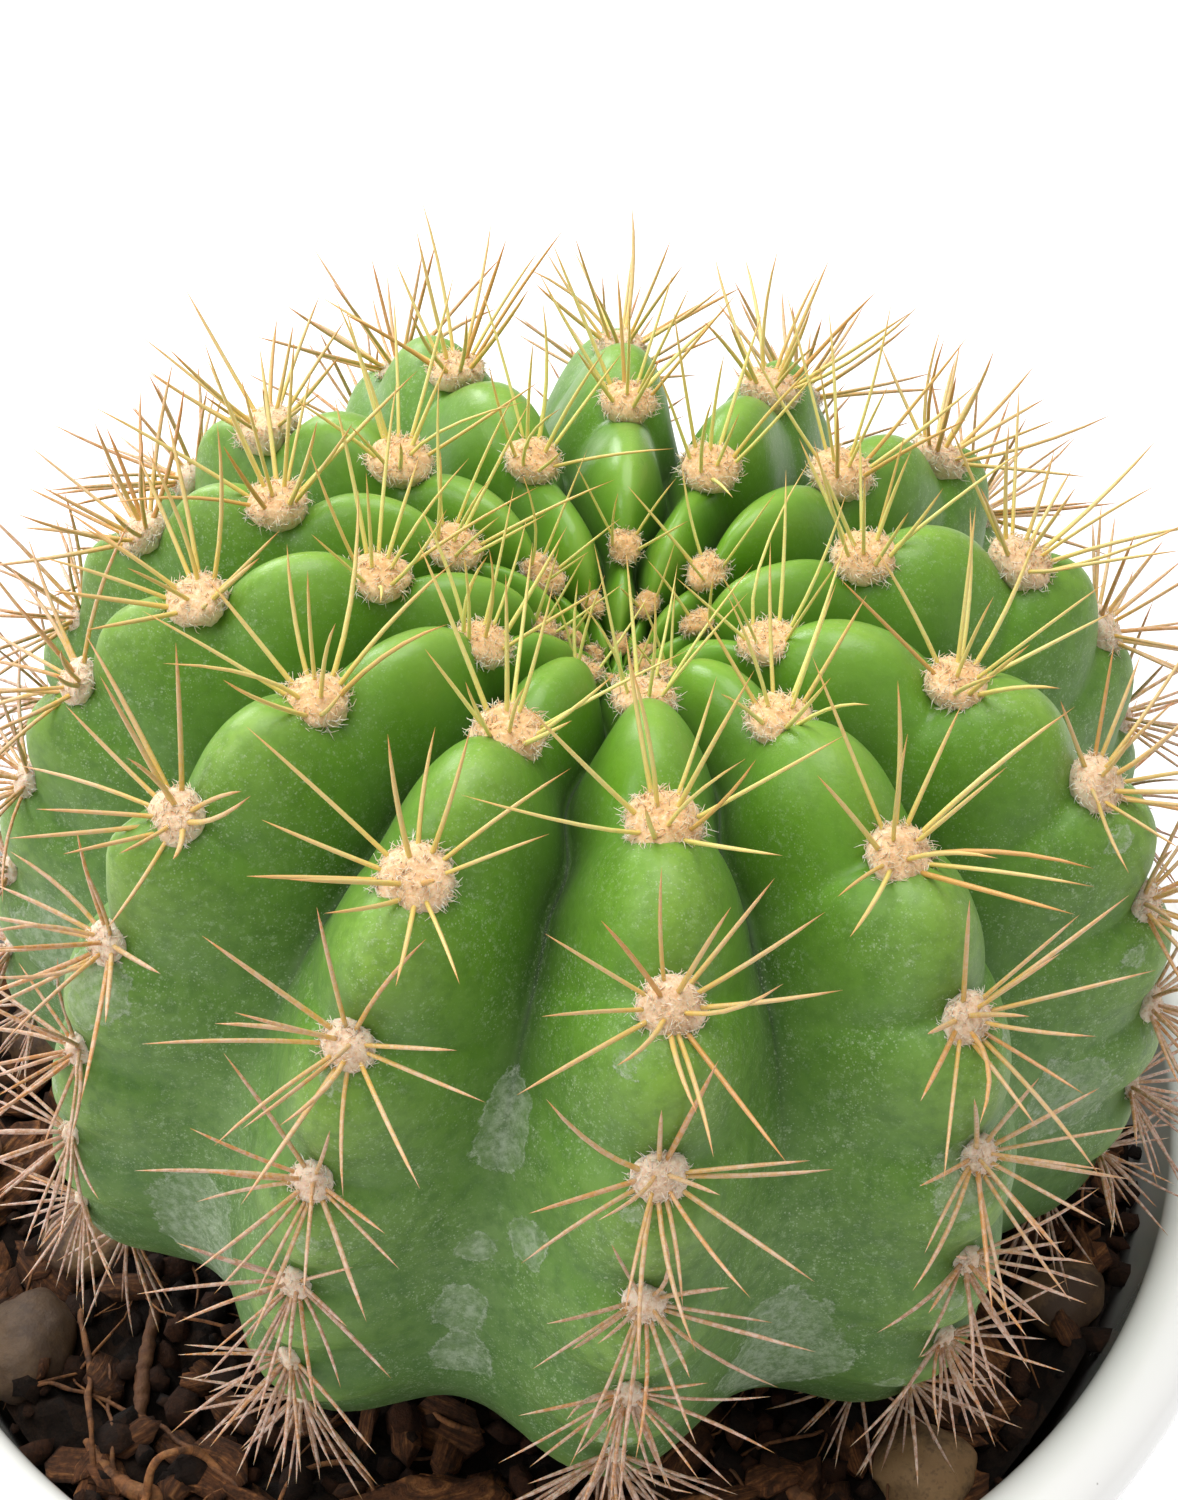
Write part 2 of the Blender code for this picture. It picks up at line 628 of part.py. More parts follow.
def dry_root(name, path, grow, surface, collection=None):
    """A piece of dry root: a bent tube that lies half sunk in the soil."""
    level = SOIL_TOP + ROOT_RISE * ROOT_RADIUS
    start, middle, end = (Vector((x * MM, y * MM, level)) for x, y in path)
    bm = bmesh.new()
    rings = []
    for share in np.linspace(0, 1, ROOT_STEPS + 1):
        centre = start * (1 - share) ** 2 + middle * 2 * share * (1 - share) + end * share ** 2
        along = ((middle - start) * (1 - share) + (end - middle) * share).normalized()
        side = along.cross(Vector((0, 0, 1)))
        centre.z += ROOT_ARCH * math.sin(math.pi * share)
        end_reach = grow * (2 * share - 1) if share in (0, 1) else 0
        centre = centre + along * end_reach
        ring = []
        for corner in range(ROOT_SIDES):
            angle = 2 * math.pi * corner / ROOT_SIDES
            spoke = side * math.cos(angle) + Vector((0, 0, 1)) * math.sin(angle)
            ring.append(bm.verts.new(centre + spoke * (ROOT_RADIUS + grow)))
        rings.append(ring)
    for low, high in zip(rings, rings[1:]):
        for corner in range(ROOT_SIDES):
            after = (corner + 1) % ROOT_SIDES
            bm.faces.new((low[corner], low[after], high[after], high[corner]))
    bm.faces.new(rings[0][::-1])
    bm.faces.new(rings[-1])
    obj = add_object(name, mesh_of(bm, name), surface, collection)
    soften(obj, "root")
    return obj


def loose_pieces(grow, surfaces, collection=None):
    """All loose pieces, or with grow the tools that cut their seats in the soil."""
    makers = (
        ("bark_chip", bark_chip, BARK_CHIPS, "bark"),
        ("pebble", pebble, PEBBLES, "pebble"),
        ("root", dry_root, ROOT_PATHS, "root"),
    )
    for name, make, rows, surface in makers:
        for number, row in enumerate(rows, 1):
            label = f"{name}_{number}" if collection is None else f"{name}_seat_{number}"
            make(label, row, grow, surfaces.get(surface), collection)


# Potting mix


def neck_tool(collection):
    """The plain hole for the plant's neck: its crest line, a gap wider, open at the top."""
    profile = []
    for arc in (NECK_HOLE_START, *neck_arcs(), CREST_ARC[-1]):
        radius, height, out, up = crest_at(arc)
        profile.append((float(radius + out * NECK_HOLE_SPARE), float(height + up * NECK_HOLE_SPARE)))
    profile[-1] = (0, profile[-1][1])
    top = profile[0][1] + NECK_HOLE_ABOVE
    profile = [(0, top), (profile[0][0], top)] + profile
    bm = turned(profile, NECK_HOLE_SIDES)
    lean = Matrix.Translation(BODY_CENTRE) @ Matrix.Rotation(BODY_LEAN, 4, "Y")
    bmesh.ops.transform(bm, matrix=lean, verts=bm.verts)
    add_object("neck_hole", mesh_of(bm, "neck_hole"), collection=collection)


def potting_mix(surface):
    """The plug of soil, its lumpy top, the hole for the neck and the seats of the loose pieces."""
    outer = wall_radius(SOIL_TOP) - GAP
    radii = np.linspace(SOIL_CORE_RADIUS, outer, SOIL_RINGS)
    angles = 2 * math.pi * np.arange(SOIL_SIDES) / SOIL_SIDES
    bm = bmesh.new()
    top = bm.verts.new((0, 0, SOIL_TOP))
    foot_height = POT_FLOOR + GAP
    foot = bm.verts.new((0, 0, foot_height))
    rings = []
    for radius in radii:
        xs, ys = radius * np.cos(angles), radius * np.sin(angles)
        heights = soil_height(xs, ys) if radius < outer else np.full(SOIL_SIDES, SOIL_TOP)
        rings.append([bm.verts.new(place) for place in zip(xs, ys, heights)])
    foot_radius = wall_radius(foot_height) - GAP
    rings.append([
        bm.verts.new((foot_radius * math.cos(angle), foot_radius * math.sin(angle), foot_height))
        for angle in angles
    ])
    for side in range(SOIL_SIDES):
        after = (side + 1) % SOIL_SIDES
        bm.faces.new((top, rings[0][side], rings[0][after]))
        bm.faces.new((foot, rings[-1][after], rings[-1][side]))
        for inner, beyond in zip(rings, rings[1:]):
            bm.faces.new((inner[side], beyond[side], beyond[after], inner[after]))
    bmesh.ops.triangulate(bm, faces=bm.faces)
    soil = add_object("potting_mix", mesh_of(bm, "potting_mix"), surface)
    tools = tool_collection("soil_tools")
    neck_tool(tools)
    boolean_with(soil, tools, "DIFFERENCE", "EXACT")
    seats = tool_collection("seats")
    loose_pieces(GAP, {}, seats)
    boolean_with(soil, seats, "DIFFERENCE", "EXACT")
    return soil


def main():
    clear_scene()
    surfaces = {name: material(name) for name in COLOURS}
    pot(surfaces["glaze"])
    potting_mix(surfaces["mix"])
    cactus(surfaces["skin"])
    loose_pieces(0, surfaces)


main()
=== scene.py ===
"""The potted ball cactus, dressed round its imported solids.

Laid out as an add-on whose operators each make one piece or one group of like pieces. Lengths are in
millimetres until a piece is put into the scene, in metres, in the frame of the solids: +Z up, the origin in
the middle of the pot's underside, the front towards -Y. A table of pairs holds a value at each of some arc
lengths along a rib's crest, from the growing point out and down.
"""
import math

import bpy
import numpy as np
from mathutils import Matrix


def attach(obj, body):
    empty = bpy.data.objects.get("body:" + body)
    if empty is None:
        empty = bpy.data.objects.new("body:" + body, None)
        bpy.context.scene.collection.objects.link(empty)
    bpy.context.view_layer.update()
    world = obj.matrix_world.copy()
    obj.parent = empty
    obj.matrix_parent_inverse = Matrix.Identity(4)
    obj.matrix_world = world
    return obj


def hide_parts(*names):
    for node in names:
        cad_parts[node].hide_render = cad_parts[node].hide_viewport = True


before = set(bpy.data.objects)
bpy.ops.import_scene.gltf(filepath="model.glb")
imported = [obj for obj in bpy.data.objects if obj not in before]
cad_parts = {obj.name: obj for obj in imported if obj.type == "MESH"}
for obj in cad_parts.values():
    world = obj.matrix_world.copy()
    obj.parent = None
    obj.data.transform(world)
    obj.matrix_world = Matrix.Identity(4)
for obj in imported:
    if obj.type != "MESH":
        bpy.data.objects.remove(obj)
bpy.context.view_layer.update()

bl_info = {
    "name": "Potted ball cactus",
    "version": (1, 0, 0),
    "blender": (4, 5, 0),
    "location": "View3D > Sidebar > Cactus",
    "description": "Ribbed flesh, wool, spines, pot and potting mix of a ball cactus",
    "category": "Add Mesh",
}

MM = 0.001
BODY = "root"
LATTICE = 32
POLES = np.array(((0, 0, -1.0), (0, 0, 1.0)))

# Crest line of the body in its own upright frame: (radius, height) from the growing point out and down
CREST_OUTLINE = (
    (0, 19.8), (3.8, 21.2), (8.5, 23.1), (14.4, 24.4), (20.9, 24.3), (27.5, 22.4), (33.0, 18.4),
    (36.6, 12.5), (39.2, 5.5), (40.5, -1.5), (41.0, -8.3), (40.4, -14.5), (37.6, -19.7),
    (31.5, -23.4), (24.0, -25.6), (19.0, -28.4), (16.5, -33.5), (13.5, -42.0), (7.5, -46.6), (0, -48.0),
)
CREST_SAMPLES = 12
CREST_REACH = 1.0
BODY_CENTRE = np.array((4.5, -0.6, 109.2))
BODY_LEAN = math.radians(6.2)
BODY_RADIUS = 40.0
CROWN_SHIFT = np.array((-0.4, -2.1, 0.0))

# Ribs, from the front towards -X
RIBS = 13
RIB_START = math.radians(-11.2)
RIB_TURN_DEG = (7.5, 9.5, 10.3, 10.0, 2.1, -5.6, -4.3, -3.2, -6.6, -8.9, -9.4, -2.0, 3.8)
VALLEY_SHARPNESS = ((0, 2.4), (8, 3.0), (22, 2.7), (34, 2.1), (48, 1.6))
VALLEY_SOFTNESS = ((0, 0), (24, 0.1), (40, 0.6), (56, 1), (200, 1))
VALLEY_DEPTH = (
    (0, 0), (4, 1.4), (8, 2.9), (16, 5.8), (24, 8.0), (32, 8.4), (42, 7.2), (54, 5.2), (66, 4.2), (76, 3.4),
    (86, 1.4), (92, 0), (200, 0),
)
HUMP_HEIGHT = (
    (0, 0), (4, 0.9), (10, 1.9), (20, 2.3), (36, 2.0), (46, 1.45), (56, 1.0), (68, 0.65), (76, 0.3), (80, 0),
    (200, 0),
)
HUMP_LEAN = 0.75
HUMP_NARROWNESS = ((0, 1.2), (30, 1.4), (46, 1.8), (60, 2.6))
CROWN_PIT = ((0, 3.2), (2.5, 2.3), (5, 1.1), (8, 0.35), (12, 0))
WEAVE = ((0, 0.5), (6, 0.42), (12, 0.24), (20, 0.09), (28, 0))
WEAVE_LEAN = 0.85

# Areoles, in steps along a rib
AREOLE_STAGGER = 7 / 13
AREOLE_LEAD = (0, 0.08, 0.06, -0.09, 0, 0, 0.06, -0.04, 0, -0.09, 0.1, 0.05, -0.04)
CROWN_ARC = 0.25
CROWN_GROWTH = 1.22
STEP_ARC = 0.305
STEP_SHRINK = 0.0103
AREOLE_STEPS = (-2, 8)
AREOLE_ARCS = (1.5, 78.0)

# Flesh
FLESH_COLUMNS = 32
FLESH_ROWS = 176
FLESH_END = 88.0
NECK_ROWS = 14
DIMPLE_DEPTH = ((0, 0.1), (8, 0.5), (20, 0.8), (40, 0.6), (56, 0.35), (78, 0.25), (90, 0))
DIMPLE_REACH = ((0, 0.8), (10, 2.0), (30, 3.0), (60, 2.4), (90, 2.0))
FOLD_DEPTH = ((0, 0), (40, 0), (50, 0.3), (60, 0.6), (72, 0.8), (82, 0.3), (90, 0))
FOLD_BACK = 1.3
FOLD_WIDTH = 0.8
FLESH_START = 0.5
FLESH_EVENNESS = 0.75
FULL_AGE = 90

# Height, size and seed of the skin's ripples, and how strong they are along the crest line
SKIN_RIPPLES = ((0.22, 7.0, 1), (0.1, 2.6, 2))
RIPPLE_SHARE = ((0, 0.1), (12, 0.6), (40, 1), (86, 1), (90, 0))

# Crust just below the areoles further out than CRUST_FROM: its size, and the least and most of its shift
# along the rib, its shift across it and its strength
CRUST_FROM = 32.0
CRUST_SIZE = 1.5
CRUST_SEED = 51
CRUST_RANGE = (2.2, -0.3, 0.25), (4.0, 0.3, 0.62)

# Rib, arc, across and size of corky scars, and of bumps with their height
SCARS = (
    (1, 55.0, -0.97, 1.2), (1, 60.5, -0.94, 1.7), (1, 65.5, -0.97, 1.9), (2, 63.5, -0.9, 3.0),
    (2, 68.0, -1.0, 3.0), (12, 61.0, 0.98, 2.2), (12, 65.0, 0.8, 3.2), (0, 43.0, 0.97, 1.5),
    (0, 46.5, 0.97, 1.7), (11, 54.0, -0.2, 2.4), (0, 67.0, -0.98, 2.4), (12, 67.0, 0.98, 2.6),
    (2, 47.0, -0.12, 2.6), (3, 58.0, -0.6, 3.6), (11, 56.0, 0.6, 3.4), (12, 48.0, 0.1, 2.2),
    (0, 52.5, 0.7, 1.6), (5, 60.0, 0.9, 4.0), (7, 64.0, -0.8, 4.4), (9, 57.0, 0.85, 3.8),
)
BUMPS = (
    (2, 37.2, 0.12, 2.0, 0.9), (12, 30.0, 0.3, 2.4, 0.3), (4, 44.0, -0.2, 2.2, 0.6), (8, 50.0, 0.3, 2.4, 0.5),
)

# Wool pads
PAD_RADIUS = (
    (0, 0.6), (3, 0.8), (5, 1.1), (8, 1.6), (11, 2.0), (16, 2.1), (28, 2.0), (33, 1.85), (40, 1.55),
    (50, 1.2), (60, 0.95), (68, 0.7), (78, 0.55),
)
PAD_WIDTH = ((0, 0.7), (6, 0.75), (10, 0.95), (34, 1.0))
PAD_HEIGHT = ((0, 1.1), (8, 1.0), (28, 1.0))
PAD_RISE = (
    (0, 0.3), (6, 0.6), (10, 0.95), (14, 1.1), (24, 1.15), (34, 1.05), (44, 0.9), (60, 0.7), (78, 0.5),
)
PAD_UNDER = ((0, 0.5), (8, 1.0), (14, 1.5), (24, 1.7), (34, 1.5), (44, 1.0), (60, 0.7), (78, 0.5))
PAD_SHIFT = ((0, 0), (6, 0.2), (12, 0.6), (24, 0.7), (40, 0.35), (60, 0.15), (78, 0.1))
PAD_LIFT = ((0, 0), (8, 0.2), (20, 0.45), (30, 0.4), (40, 0.1), (60, -0.05))
PAD_BY_RIB = (1.1, 1.05, 1.0, 1.0, 1.0, 1.1, 0.95, 1.0, 1.05, 1.05, 1.1, 1.05, 1.0)
PAD_RINGS = 15
PAD_SIDES = 24
PAD_FILL = 0.55
PAD_SEED = 21
PAD_VARIETY = (0.94, 1.06)
PAD_HEART = (0.08, 0.82)
NEAREST_ARC = 0.3

# Hairs: name, number on the largest pad, seed, whether on the low side alone, reach and thickness
HAIRS = (
    ("areole_hairs", 105, 22, False, 0.78, 0.046), ("areole_curls", 122, 24, False, 0.95, 0.042),
    ("areole_fringe", 44, 23, True, 1.1, 0.04),
)
LEAST_HAIRS = 10
HAIR_NUMBER_POWER = 1.3
HAIR_STEPS = 3
HAIR_SIDES = 3
HAIR_ROOT = 0.12
HAIR_TURN = (0.4, 2.3)
HAIR_TAPER = (1.0, 0.85, 0.3)
HAIR_LENGTH = (0.5, 1.0)
HAIR_SPRAY = 0.3
HAIR_HEART = (0.75, 0.3)
LOW_SHARES = (0.8, 1.25)
LOW_HEART = 0.15
LOWEST_COSINE = -0.3
FELT_TUFTS = ((0.16, 0.9, 3), (0.15, 0.35, 4))
WOOL_OLD = (0.82, 0.68, 0.56)
FRINGE_YOUNG = (0.95, 0.84, 0.64)
FRINGE_OLD = (0.92, 0.85, 0.76)

# Spines
SPINE_COUNT = (
    (0, 0), (2, 0), (5, 2), (9, 6), (14, 9), (24, 12), (34, 14), (44, 15), (56, 16), (66, 18), (78, 18),
)
SPINE_LENGTH = ((0, 4.5), (5, 6.5), (12, 9.8), (22, 10.6), (32, 9.6), (42, 8.6), (58, 7.6), (78, 6.4))
SPINE_RADIUS = (
    (0, 0.11), (6, 0.13), (12, 0.155), (26, 0.18), (38, 0.172), (50, 0.155), (62, 0.14), (78, 0.135),
)
SPINE_SLIMMING = ((0, 0.5), (24, 0.32), (44, 0.14), (78, 0.2))
SPINE_SPREAD = ((0, 10), (8, 20), (18, 36), (32, 56), (50, 66), (66, 66), (78, 60))
SPINE_FAN = ((0, 180), (40, 180), (56, 160), (66, 118), (78, 104))
SPINE_STEPS = 7
SPINE_SIDES = 5
SPINE_SEED = 31
SPINE_SUNK = 0.9
SPINE_RAISED = 0.2
SPINE_LENGTH_VARIETY = (0.72, 1.18)
SPINE_RADIUS_VARIETY = (0.82, 1.12)
TIP_POWER = 7
TIP_SHARE = 0.04
FAN_JITTER = 0.32
SPREAD_JITTER = 7
CENTRAL_FROM = 10
CENTRAL_SPREAD = (0.3, 0.6)
CENTRAL_ROOT = 0.25
RADIAL_ROOT = 0.62
BEND = 0.11
CROOKED_SHARE = 0.12
CROOKED_MORE = 2.0
HOOKED_SHARE = 0.09
HOOKED_FROM = 44
HOOK = 0.22
HOOK_PLACE = 0.65

# How far spines stay off the skin, the mix and the rim, where along them that is tried, and how much each of
# the small steps turns them
SPINE_CLEAR = 0.35
SOIL_CLEAR = 81.5
RIM_CLEAR = 90.0
RIM_ZONE = 47.0
SKIN_PROBES = (0.15, 0.6, 5)
TURN_STEPS = 8
SKIN_TURN = 0.16
SOIL_TURN = (0, 0, 0.22)

# Pot. BARE_FOOT is how far up the glaze is missing, and the inner wall turns browner up to a reach above the
# mix.
POT_HEIGHT = 88.0
POT_MOUTH = 49.0
POT_WALL = 6.0
POT_BASE = 40.0
POT_HEEL = 3.0
POT_FLOOR = 6.0
POT_SIDES = 192
DRAIN_RADIUS = 3.0
DRAIN_CIRCLE = 18.0
DRAINS = 3
DRAIN_TURN = math.radians(33)
HEEL_ROWS = 8
WALL_ROWS = 14
LIP_ROWS = 25
SPOKE_STEPS = 10
WEDGE_ROWS = 5
WEDGE_COLUMNS = POT_SIDES // DRAINS
SAME_POINT = 0.002
BARE_FOOT = 0.4
INSIDE_SPARE = 0.5
BROWNING_REACH = 9.0
BROWNING_POWER = 0.55

# Potting mix
GAP = 0.35
SOIL_TOP = 79.0
SOIL_LUMP = 1.1
SOIL_SIDES = 288
SOIL_RINGS = 96
SOIL_SIDE_ROWS = 12
CRUMBS_SUNK = 0.4
RIM_FADE = 1 / 60
HOLE_FADE = 1 / 12
SOIL_CRUMBS = ((0.75, 2.4, 5), (0.55, 1.2, 6), (0.3, 0.6, 7))
LEVEL_WITHIN = 22
LEVEL_FADE = 10
HOLE_SPARE = 0.5
HOLE_EDGE = 90.0
HOLE_ROWS = 10
HOLE_DEEP = 3
MIX_CRUMB = (0.028, 0.013, 0.006)
LOOSE_CRUMB = (0.035, 0.015, 0.007)

# What is strewn on the mix. A zone is the least and most distance from the pot's axis, a pair of sizes the
# least and the most, and a shape holds the rings and sides of a lump and the power that flattens it.
STREW_SEED = 41
CRUMB_ZONE = (16, 47.6)
CRUMB_SIZE = (0.4, 1.25)
CRUMB_SIZE_POWER = 1.8
CRUMB_VARIETY = (0.6, 1.3)
LUMP_RAISED_SHARE = 0.3
CRUMB_SHAPE = (2, 5, 0.6)
FLAKES = 420
FLAKE_ZONE = (18, 46.5)
FLAKE_SHAPE = (3, 6, 0.35)
FLAKE_LENGTH = (1.0, 3.4)
FLAKE_WIDTH_SHARE = (0.4, 0.8)
FLAKE_THICKNESS = (0.25, 0.7)
FLAKE_TILT = 0.35
FLAKE_RAISED = 0.35
LUMP_JITTER = (0.72, 1.18)
LUMP_END_JITTER = (0.75, 1.05)
FIBRES = 190
FIBRE_ZONE = (17, 44)
FIBRE_REACH = 47.3
FIBRE_LENGTH = (4, 17)
FIBRE_THICKNESS = (0.06, 0.17)
FIBRE_RAISED = 0.45
FIBRE_LIFT = 0.9
FIBRE_BEND = 0.5
FIBRE_WAVE = 0.06
FIBRE_STEPS = 9
FIBRE_SIDES = 4

# Middle, turn in degrees, length, width and thickness of the loose pieces
BARK_CHIPS = (
    (-7.5, -38.0, 12, 13.0, 7.5, 3.6), (-19.5, -38.6, -34, 9.0, 6.0, 3.0),
    (11.0, -39.5, 20, 11.0, 6.5, 3.2), (37.5, -10.0, 80, 8.5, 5.6, 2.8),
    (-40.5, -8.5, 65, 10.0, 6.0, 3.0), (-34.0, 19.0, -55, 11.0, 7.0, 3.4),
    (-15.0, 39.0, 15, 12.0, 7.0, 3.2), (13.0, 40.0, -20, 10.0, 6.5, 3.0),
    (34.0, 22.5, 50, 9.5, 6.0, 3.0),
)
PEBBLES = (
    (-33.5, -14.5, 20, 7.6, 6.4, 5.0), (-36.8, -23.6, 70, 8.6, 7.0, 5.4),
    (27.5, -33.5, 10, 7.2, 6.2, 5.0), (39.4, -19.5, 40, 6.6, 5.6, 4.4),
    (-40.0, 5.0, 0, 7.4, 6.2, 4.8), (-25.5, 31.5, 30, 8.0, 6.6, 5.0),
    (1.5, 42.5, 60, 6.4, 5.4, 4.2), (26.5, 33.0, 80, 7.8, 6.4, 5.0),
)
SUNK_SHARE = 0.12
CHIP_RAISED = 0.15
CHIP_GRID = (44, 84)
CHIP_FLATNESS = 0.45
CHIP_SQUARENESS = 0.35
CHIP_SWELL = (0.2, 3.4, 11)

# Roughness of a chip lengthwise, across and upwards: how its noise is drawn out, and (height, size, seed)
CHIP_LAYERS = (
    ((0.3, 1, 1), (0.45, 0.9, 12)), ((0.3, 1, 1), (0.4, 0.8, 13)), ((0.25, 1, 0.2), (0.4, 0.8, 14)),
)
CRACK_WIDTH = 0.16
CRACK_DEPTH = 0.7
PEBBLE_GRID = (30, 48)
PEBBLE_WEAR = ((0.15, 2.9, 15), (0.05, 1.1, 16), (0.012, 0.4, 47))
# How dark each stone is made as a whole: partly painted shade, partly soil stain
PEBBLE_SHADES = (0.0, 0.78, 0.1, 0.5, 0.3, 0.2, 0.4, 0.2)

# Dry roots: darkness, and the three points of each parabola
ROOT_SHADES = (0.95, 0.35, 0.5, 0.6)
ROOT_PATHS = (
    ((-27.8, -19.0), (-28.6, -25.0), (-27.0, -32.5)),
    ((-31.6, -31.0), (-26.4, -37.6), (-23.6, -34.0)),
    ((14.5, -33.0), (20.0, -35.8), (22.0, -39.8)),
    ((-3.0, 37.2), (-7.2, 34.0), (-14.6, 33.4)),
)
ROOT_STEPS = 60
ROOT_SIDES = 14
ROOT_THICKNESS = 0.6
ROOT_RAISED = 0.21
ROOT_ARCH = 0.5
ROOT_WOBBLE = (0.35, 3.0, 17)
ROOT_WRINKLES = (0.12, 0.5, 19)

# Radius, darkness, lift and path of the long thin roots that lie on the mix
LONG_ROOTS = (
    (0.23, 0.55, 1.0, (
        (-33.9, -16.7), (-33.5, -20.4), (-32.3, -24.6), (-31.4, -28.6), (-30.5, -32.4), (-29.8, -34.6))),
    (0.16, 0.75, 0.6, ((-30.6, -25.0), (-30.1, -27.8), (-29.2, -31.7), (-28.6, -34.6))),
    (0.17, 0.65, 0.8, (
        (-35.5, -27.5), (-33.0, -27.8), (-29.1, -28.7), (-24.5, -31.7), (-20.2, -35.4), (-18.0, -38.0))),
    (0.29, 0.1, 2.0, (
        (-27.6, -37.6), (-26.5, -36.2), (-25.5, -34.2), (-23.9, -33.3), (-22.4, -33.4), (-20.5, -34.6))),
    (0.19, 0.3, 1.6, (
        (-17.6, -38.4), (-16.9, -36.2), (-15.8, -34.5), (-13.8, -33.3), (-12.1, -33.3), (-10.8, -34.7),
        (-10.1, -37.2))),
    (0.22, 0.3, 0.9, ((-7.6, -28.6), (-6.3, -30.0), (-4.6, -30.5), (-3.2, -30.2))),
    (0.20, 0.05, 1.0, ((26.4, -37.8), (27.0, -36.0), (27.4, -34.7), (28.6, -33.6), (30.4, -32.2))),
    (0.22, 0.5, 0.8, ((36.0, -4.0), (38.6, -8.5), (38.2, -13.0), (40.2, -17.5))),
    (0.22, 0.4, 0.9, ((-8.0, 38.5), (-1.0, 37.0), (5.0, 40.5), (12.0, 38.0))),
    (0.25, 0.3, 1.0, ((-40.5, 14.0), (-37.5, 9.0), (-39.5, 3.0), (-36.0, -2.0))),
)
LONG_ROOT_SAMPLES = 10
LONG_ROOT_SIDES = 10
LONG_ROOT_RAISED = 0.5
LONG_ROOT_WOBBLE = (0.25, 1.6, 44)

# Camera and lights, in metres; each light has a name, a place, a size and a share of the main light's power
CAMERA_TARGET = (0.00418, -0.0006, 0.11783)
CAMERA_DISTANCE = 0.15455
CAMERA_DOWN = math.radians(44.25)
LENS_LENGTH_MM = 54.2
LENS_HEIGHT_MM = 36
NEAREST_SEEN = 0.001
LIGHT_AIM = (0, 0, 0.1)
LIGHTS = (
    ("light_back", (-0.5, 0.62, 0.46), 0.34, 0.7),
    ("light_above", (-0.1, 0.12, 1.0), 0.75, 1.35),
    ("light_left", (-0.75, -0.2, 0.55), 0.4, 0.4),
)
FLOOR_HALF = 1.6


# Shape rules


def graded(table, arc):
    """Reads a table of (place, value) pairs, with straight lines between them."""
    places, values = zip(*table)
    return np.interp(arc, places, values)


def unit(vectors):
    """Vectors divided by their lengths."""
    return vectors / np.maximum(np.linalg.norm(vectors, axis=-1, keepdims=True), 1e-9)


def noise(points, size, seed):
    """Smooth random heights from -1 to 1: seeded values on a cube lattice with the given spacing, blended
    between the eight nearest by the cubic step 3t^2 - 2t^3."""
    values = np.random.default_rng(seed).uniform(-1, 1, (LATTICE, LATTICE, LATTICE))
    place = np.asarray(points) / size
    cell = np.floor(place).astype(int)
    part = place - cell
    part = part * part * (3 - 2 * part)
    total = 0
    for corner in np.ndindex(2, 2, 2):
        index = (cell + corner) % LATTICE
        weight = np.prod(np.where(corner, part, 1 - part), axis=-1)
        total = total + weight * values[index[..., 0], index[..., 1], index[..., 2]]
    return total


def unevenness(points, *layers):
    """A sum of noises, each given as (height, size, seed)."""
    return sum(height * noise(points, size, seed) for height, size, seed in layers)


def wobble(points, height, size, seed):
    """Three unlike noises for each point, to shift it by."""
    return np.column_stack([height * noise(points + shift, size, seed) for shift in (0.0, 50.0, 100.0)])


def turned(radius, angle, height):
    """Points from their distance from the upright axis, their angle round it and their height."""
    return np.stack(np.broadcast_arrays(radius * np.cos(angle), radius * np.sin(angle), height), -1)


def smooth_curve(points, samples):
    """Catmull-Rom curve through the points: each span is the cubic whose ends lie on two points and whose
    slopes there are half the step between the points on either side."""
    pts = np.array(points, float)
    pts = np.vstack((2 * pts[0] - pts[1], pts, 2 * pts[-1] - pts[-2]))
    before, start, end, after = (pts[shift:len(pts) - 3 + shift, None] for shift in range(4))
    t = np.linspace(0, 1, samples, endpoint=False)[None, :, None]
    spans = 0.5 * (
        2 * start + (end - before) * t + (2 * before - 5 * start + 4 * end - after) * t ** 2
        + (3 * start - before - 3 * end + after) * t ** 3)
    return np.vstack((spans.reshape(-1, pts.shape[1]), pts[-2]))


CREST = smooth_curve(CREST_OUTLINE, CREST_SAMPLES)
CREST_ARC = np.concatenate(([0], np.cumsum(np.hypot(*np.diff(CREST, axis=0).T))))
RIB_AZIMUTH = RIB_START + 2 * np.pi * np.arange(RIBS) / RIBS + np.radians(RIB_TURN_DEG)
RIB_PHASE = (AREOLE_STAGGER * np.arange(RIBS)) % 1 + np.array(AREOLE_LEAD)
HALF_GAP = (np.roll(RIB_AZIMUTH, -1) - RIB_AZIMUTH) % (2 * np.pi) / 2
LEAN = np.array((
    (math.cos(BODY_LEAN), 0, math.sin(BODY_LEAN)), (0, 1, 0), (-math.sin(BODY_LEAN), 0, math.cos(BODY_LEAN)),
))


def crest_at(arc):
    """Radius and height of the crest line at an arc length, and its outward direction: the chord from a
    little before to a little after, turned a quarter."""
    ahead = np.minimum(arc + CREST_REACH, CREST_ARC[-1])
    behind = np.maximum(arc - CREST_REACH, 0)
    run, rise = (np.interp(ahead, CREST_ARC, line) - np.interp(behind, CREST_ARC, line) for line in CREST.T)
    length = np.hypot(run, rise)
    radius, height = (np.interp(arc, CREST_ARC, line) for line in CREST.T)
    return radius, height, -rise / length, run / length


def step_place(step):
    """Arc length of the areole this many steps out: an exponential in the crown, then a parabola."""
    outer = np.maximum(step, 0)
    inner = CROWN_ARC * np.exp(CROWN_GROWTH * np.minimum(step, 0))
    return BODY_RADIUS * (inner + STEP_ARC * outer - STEP_SHRINK * outer ** 2)


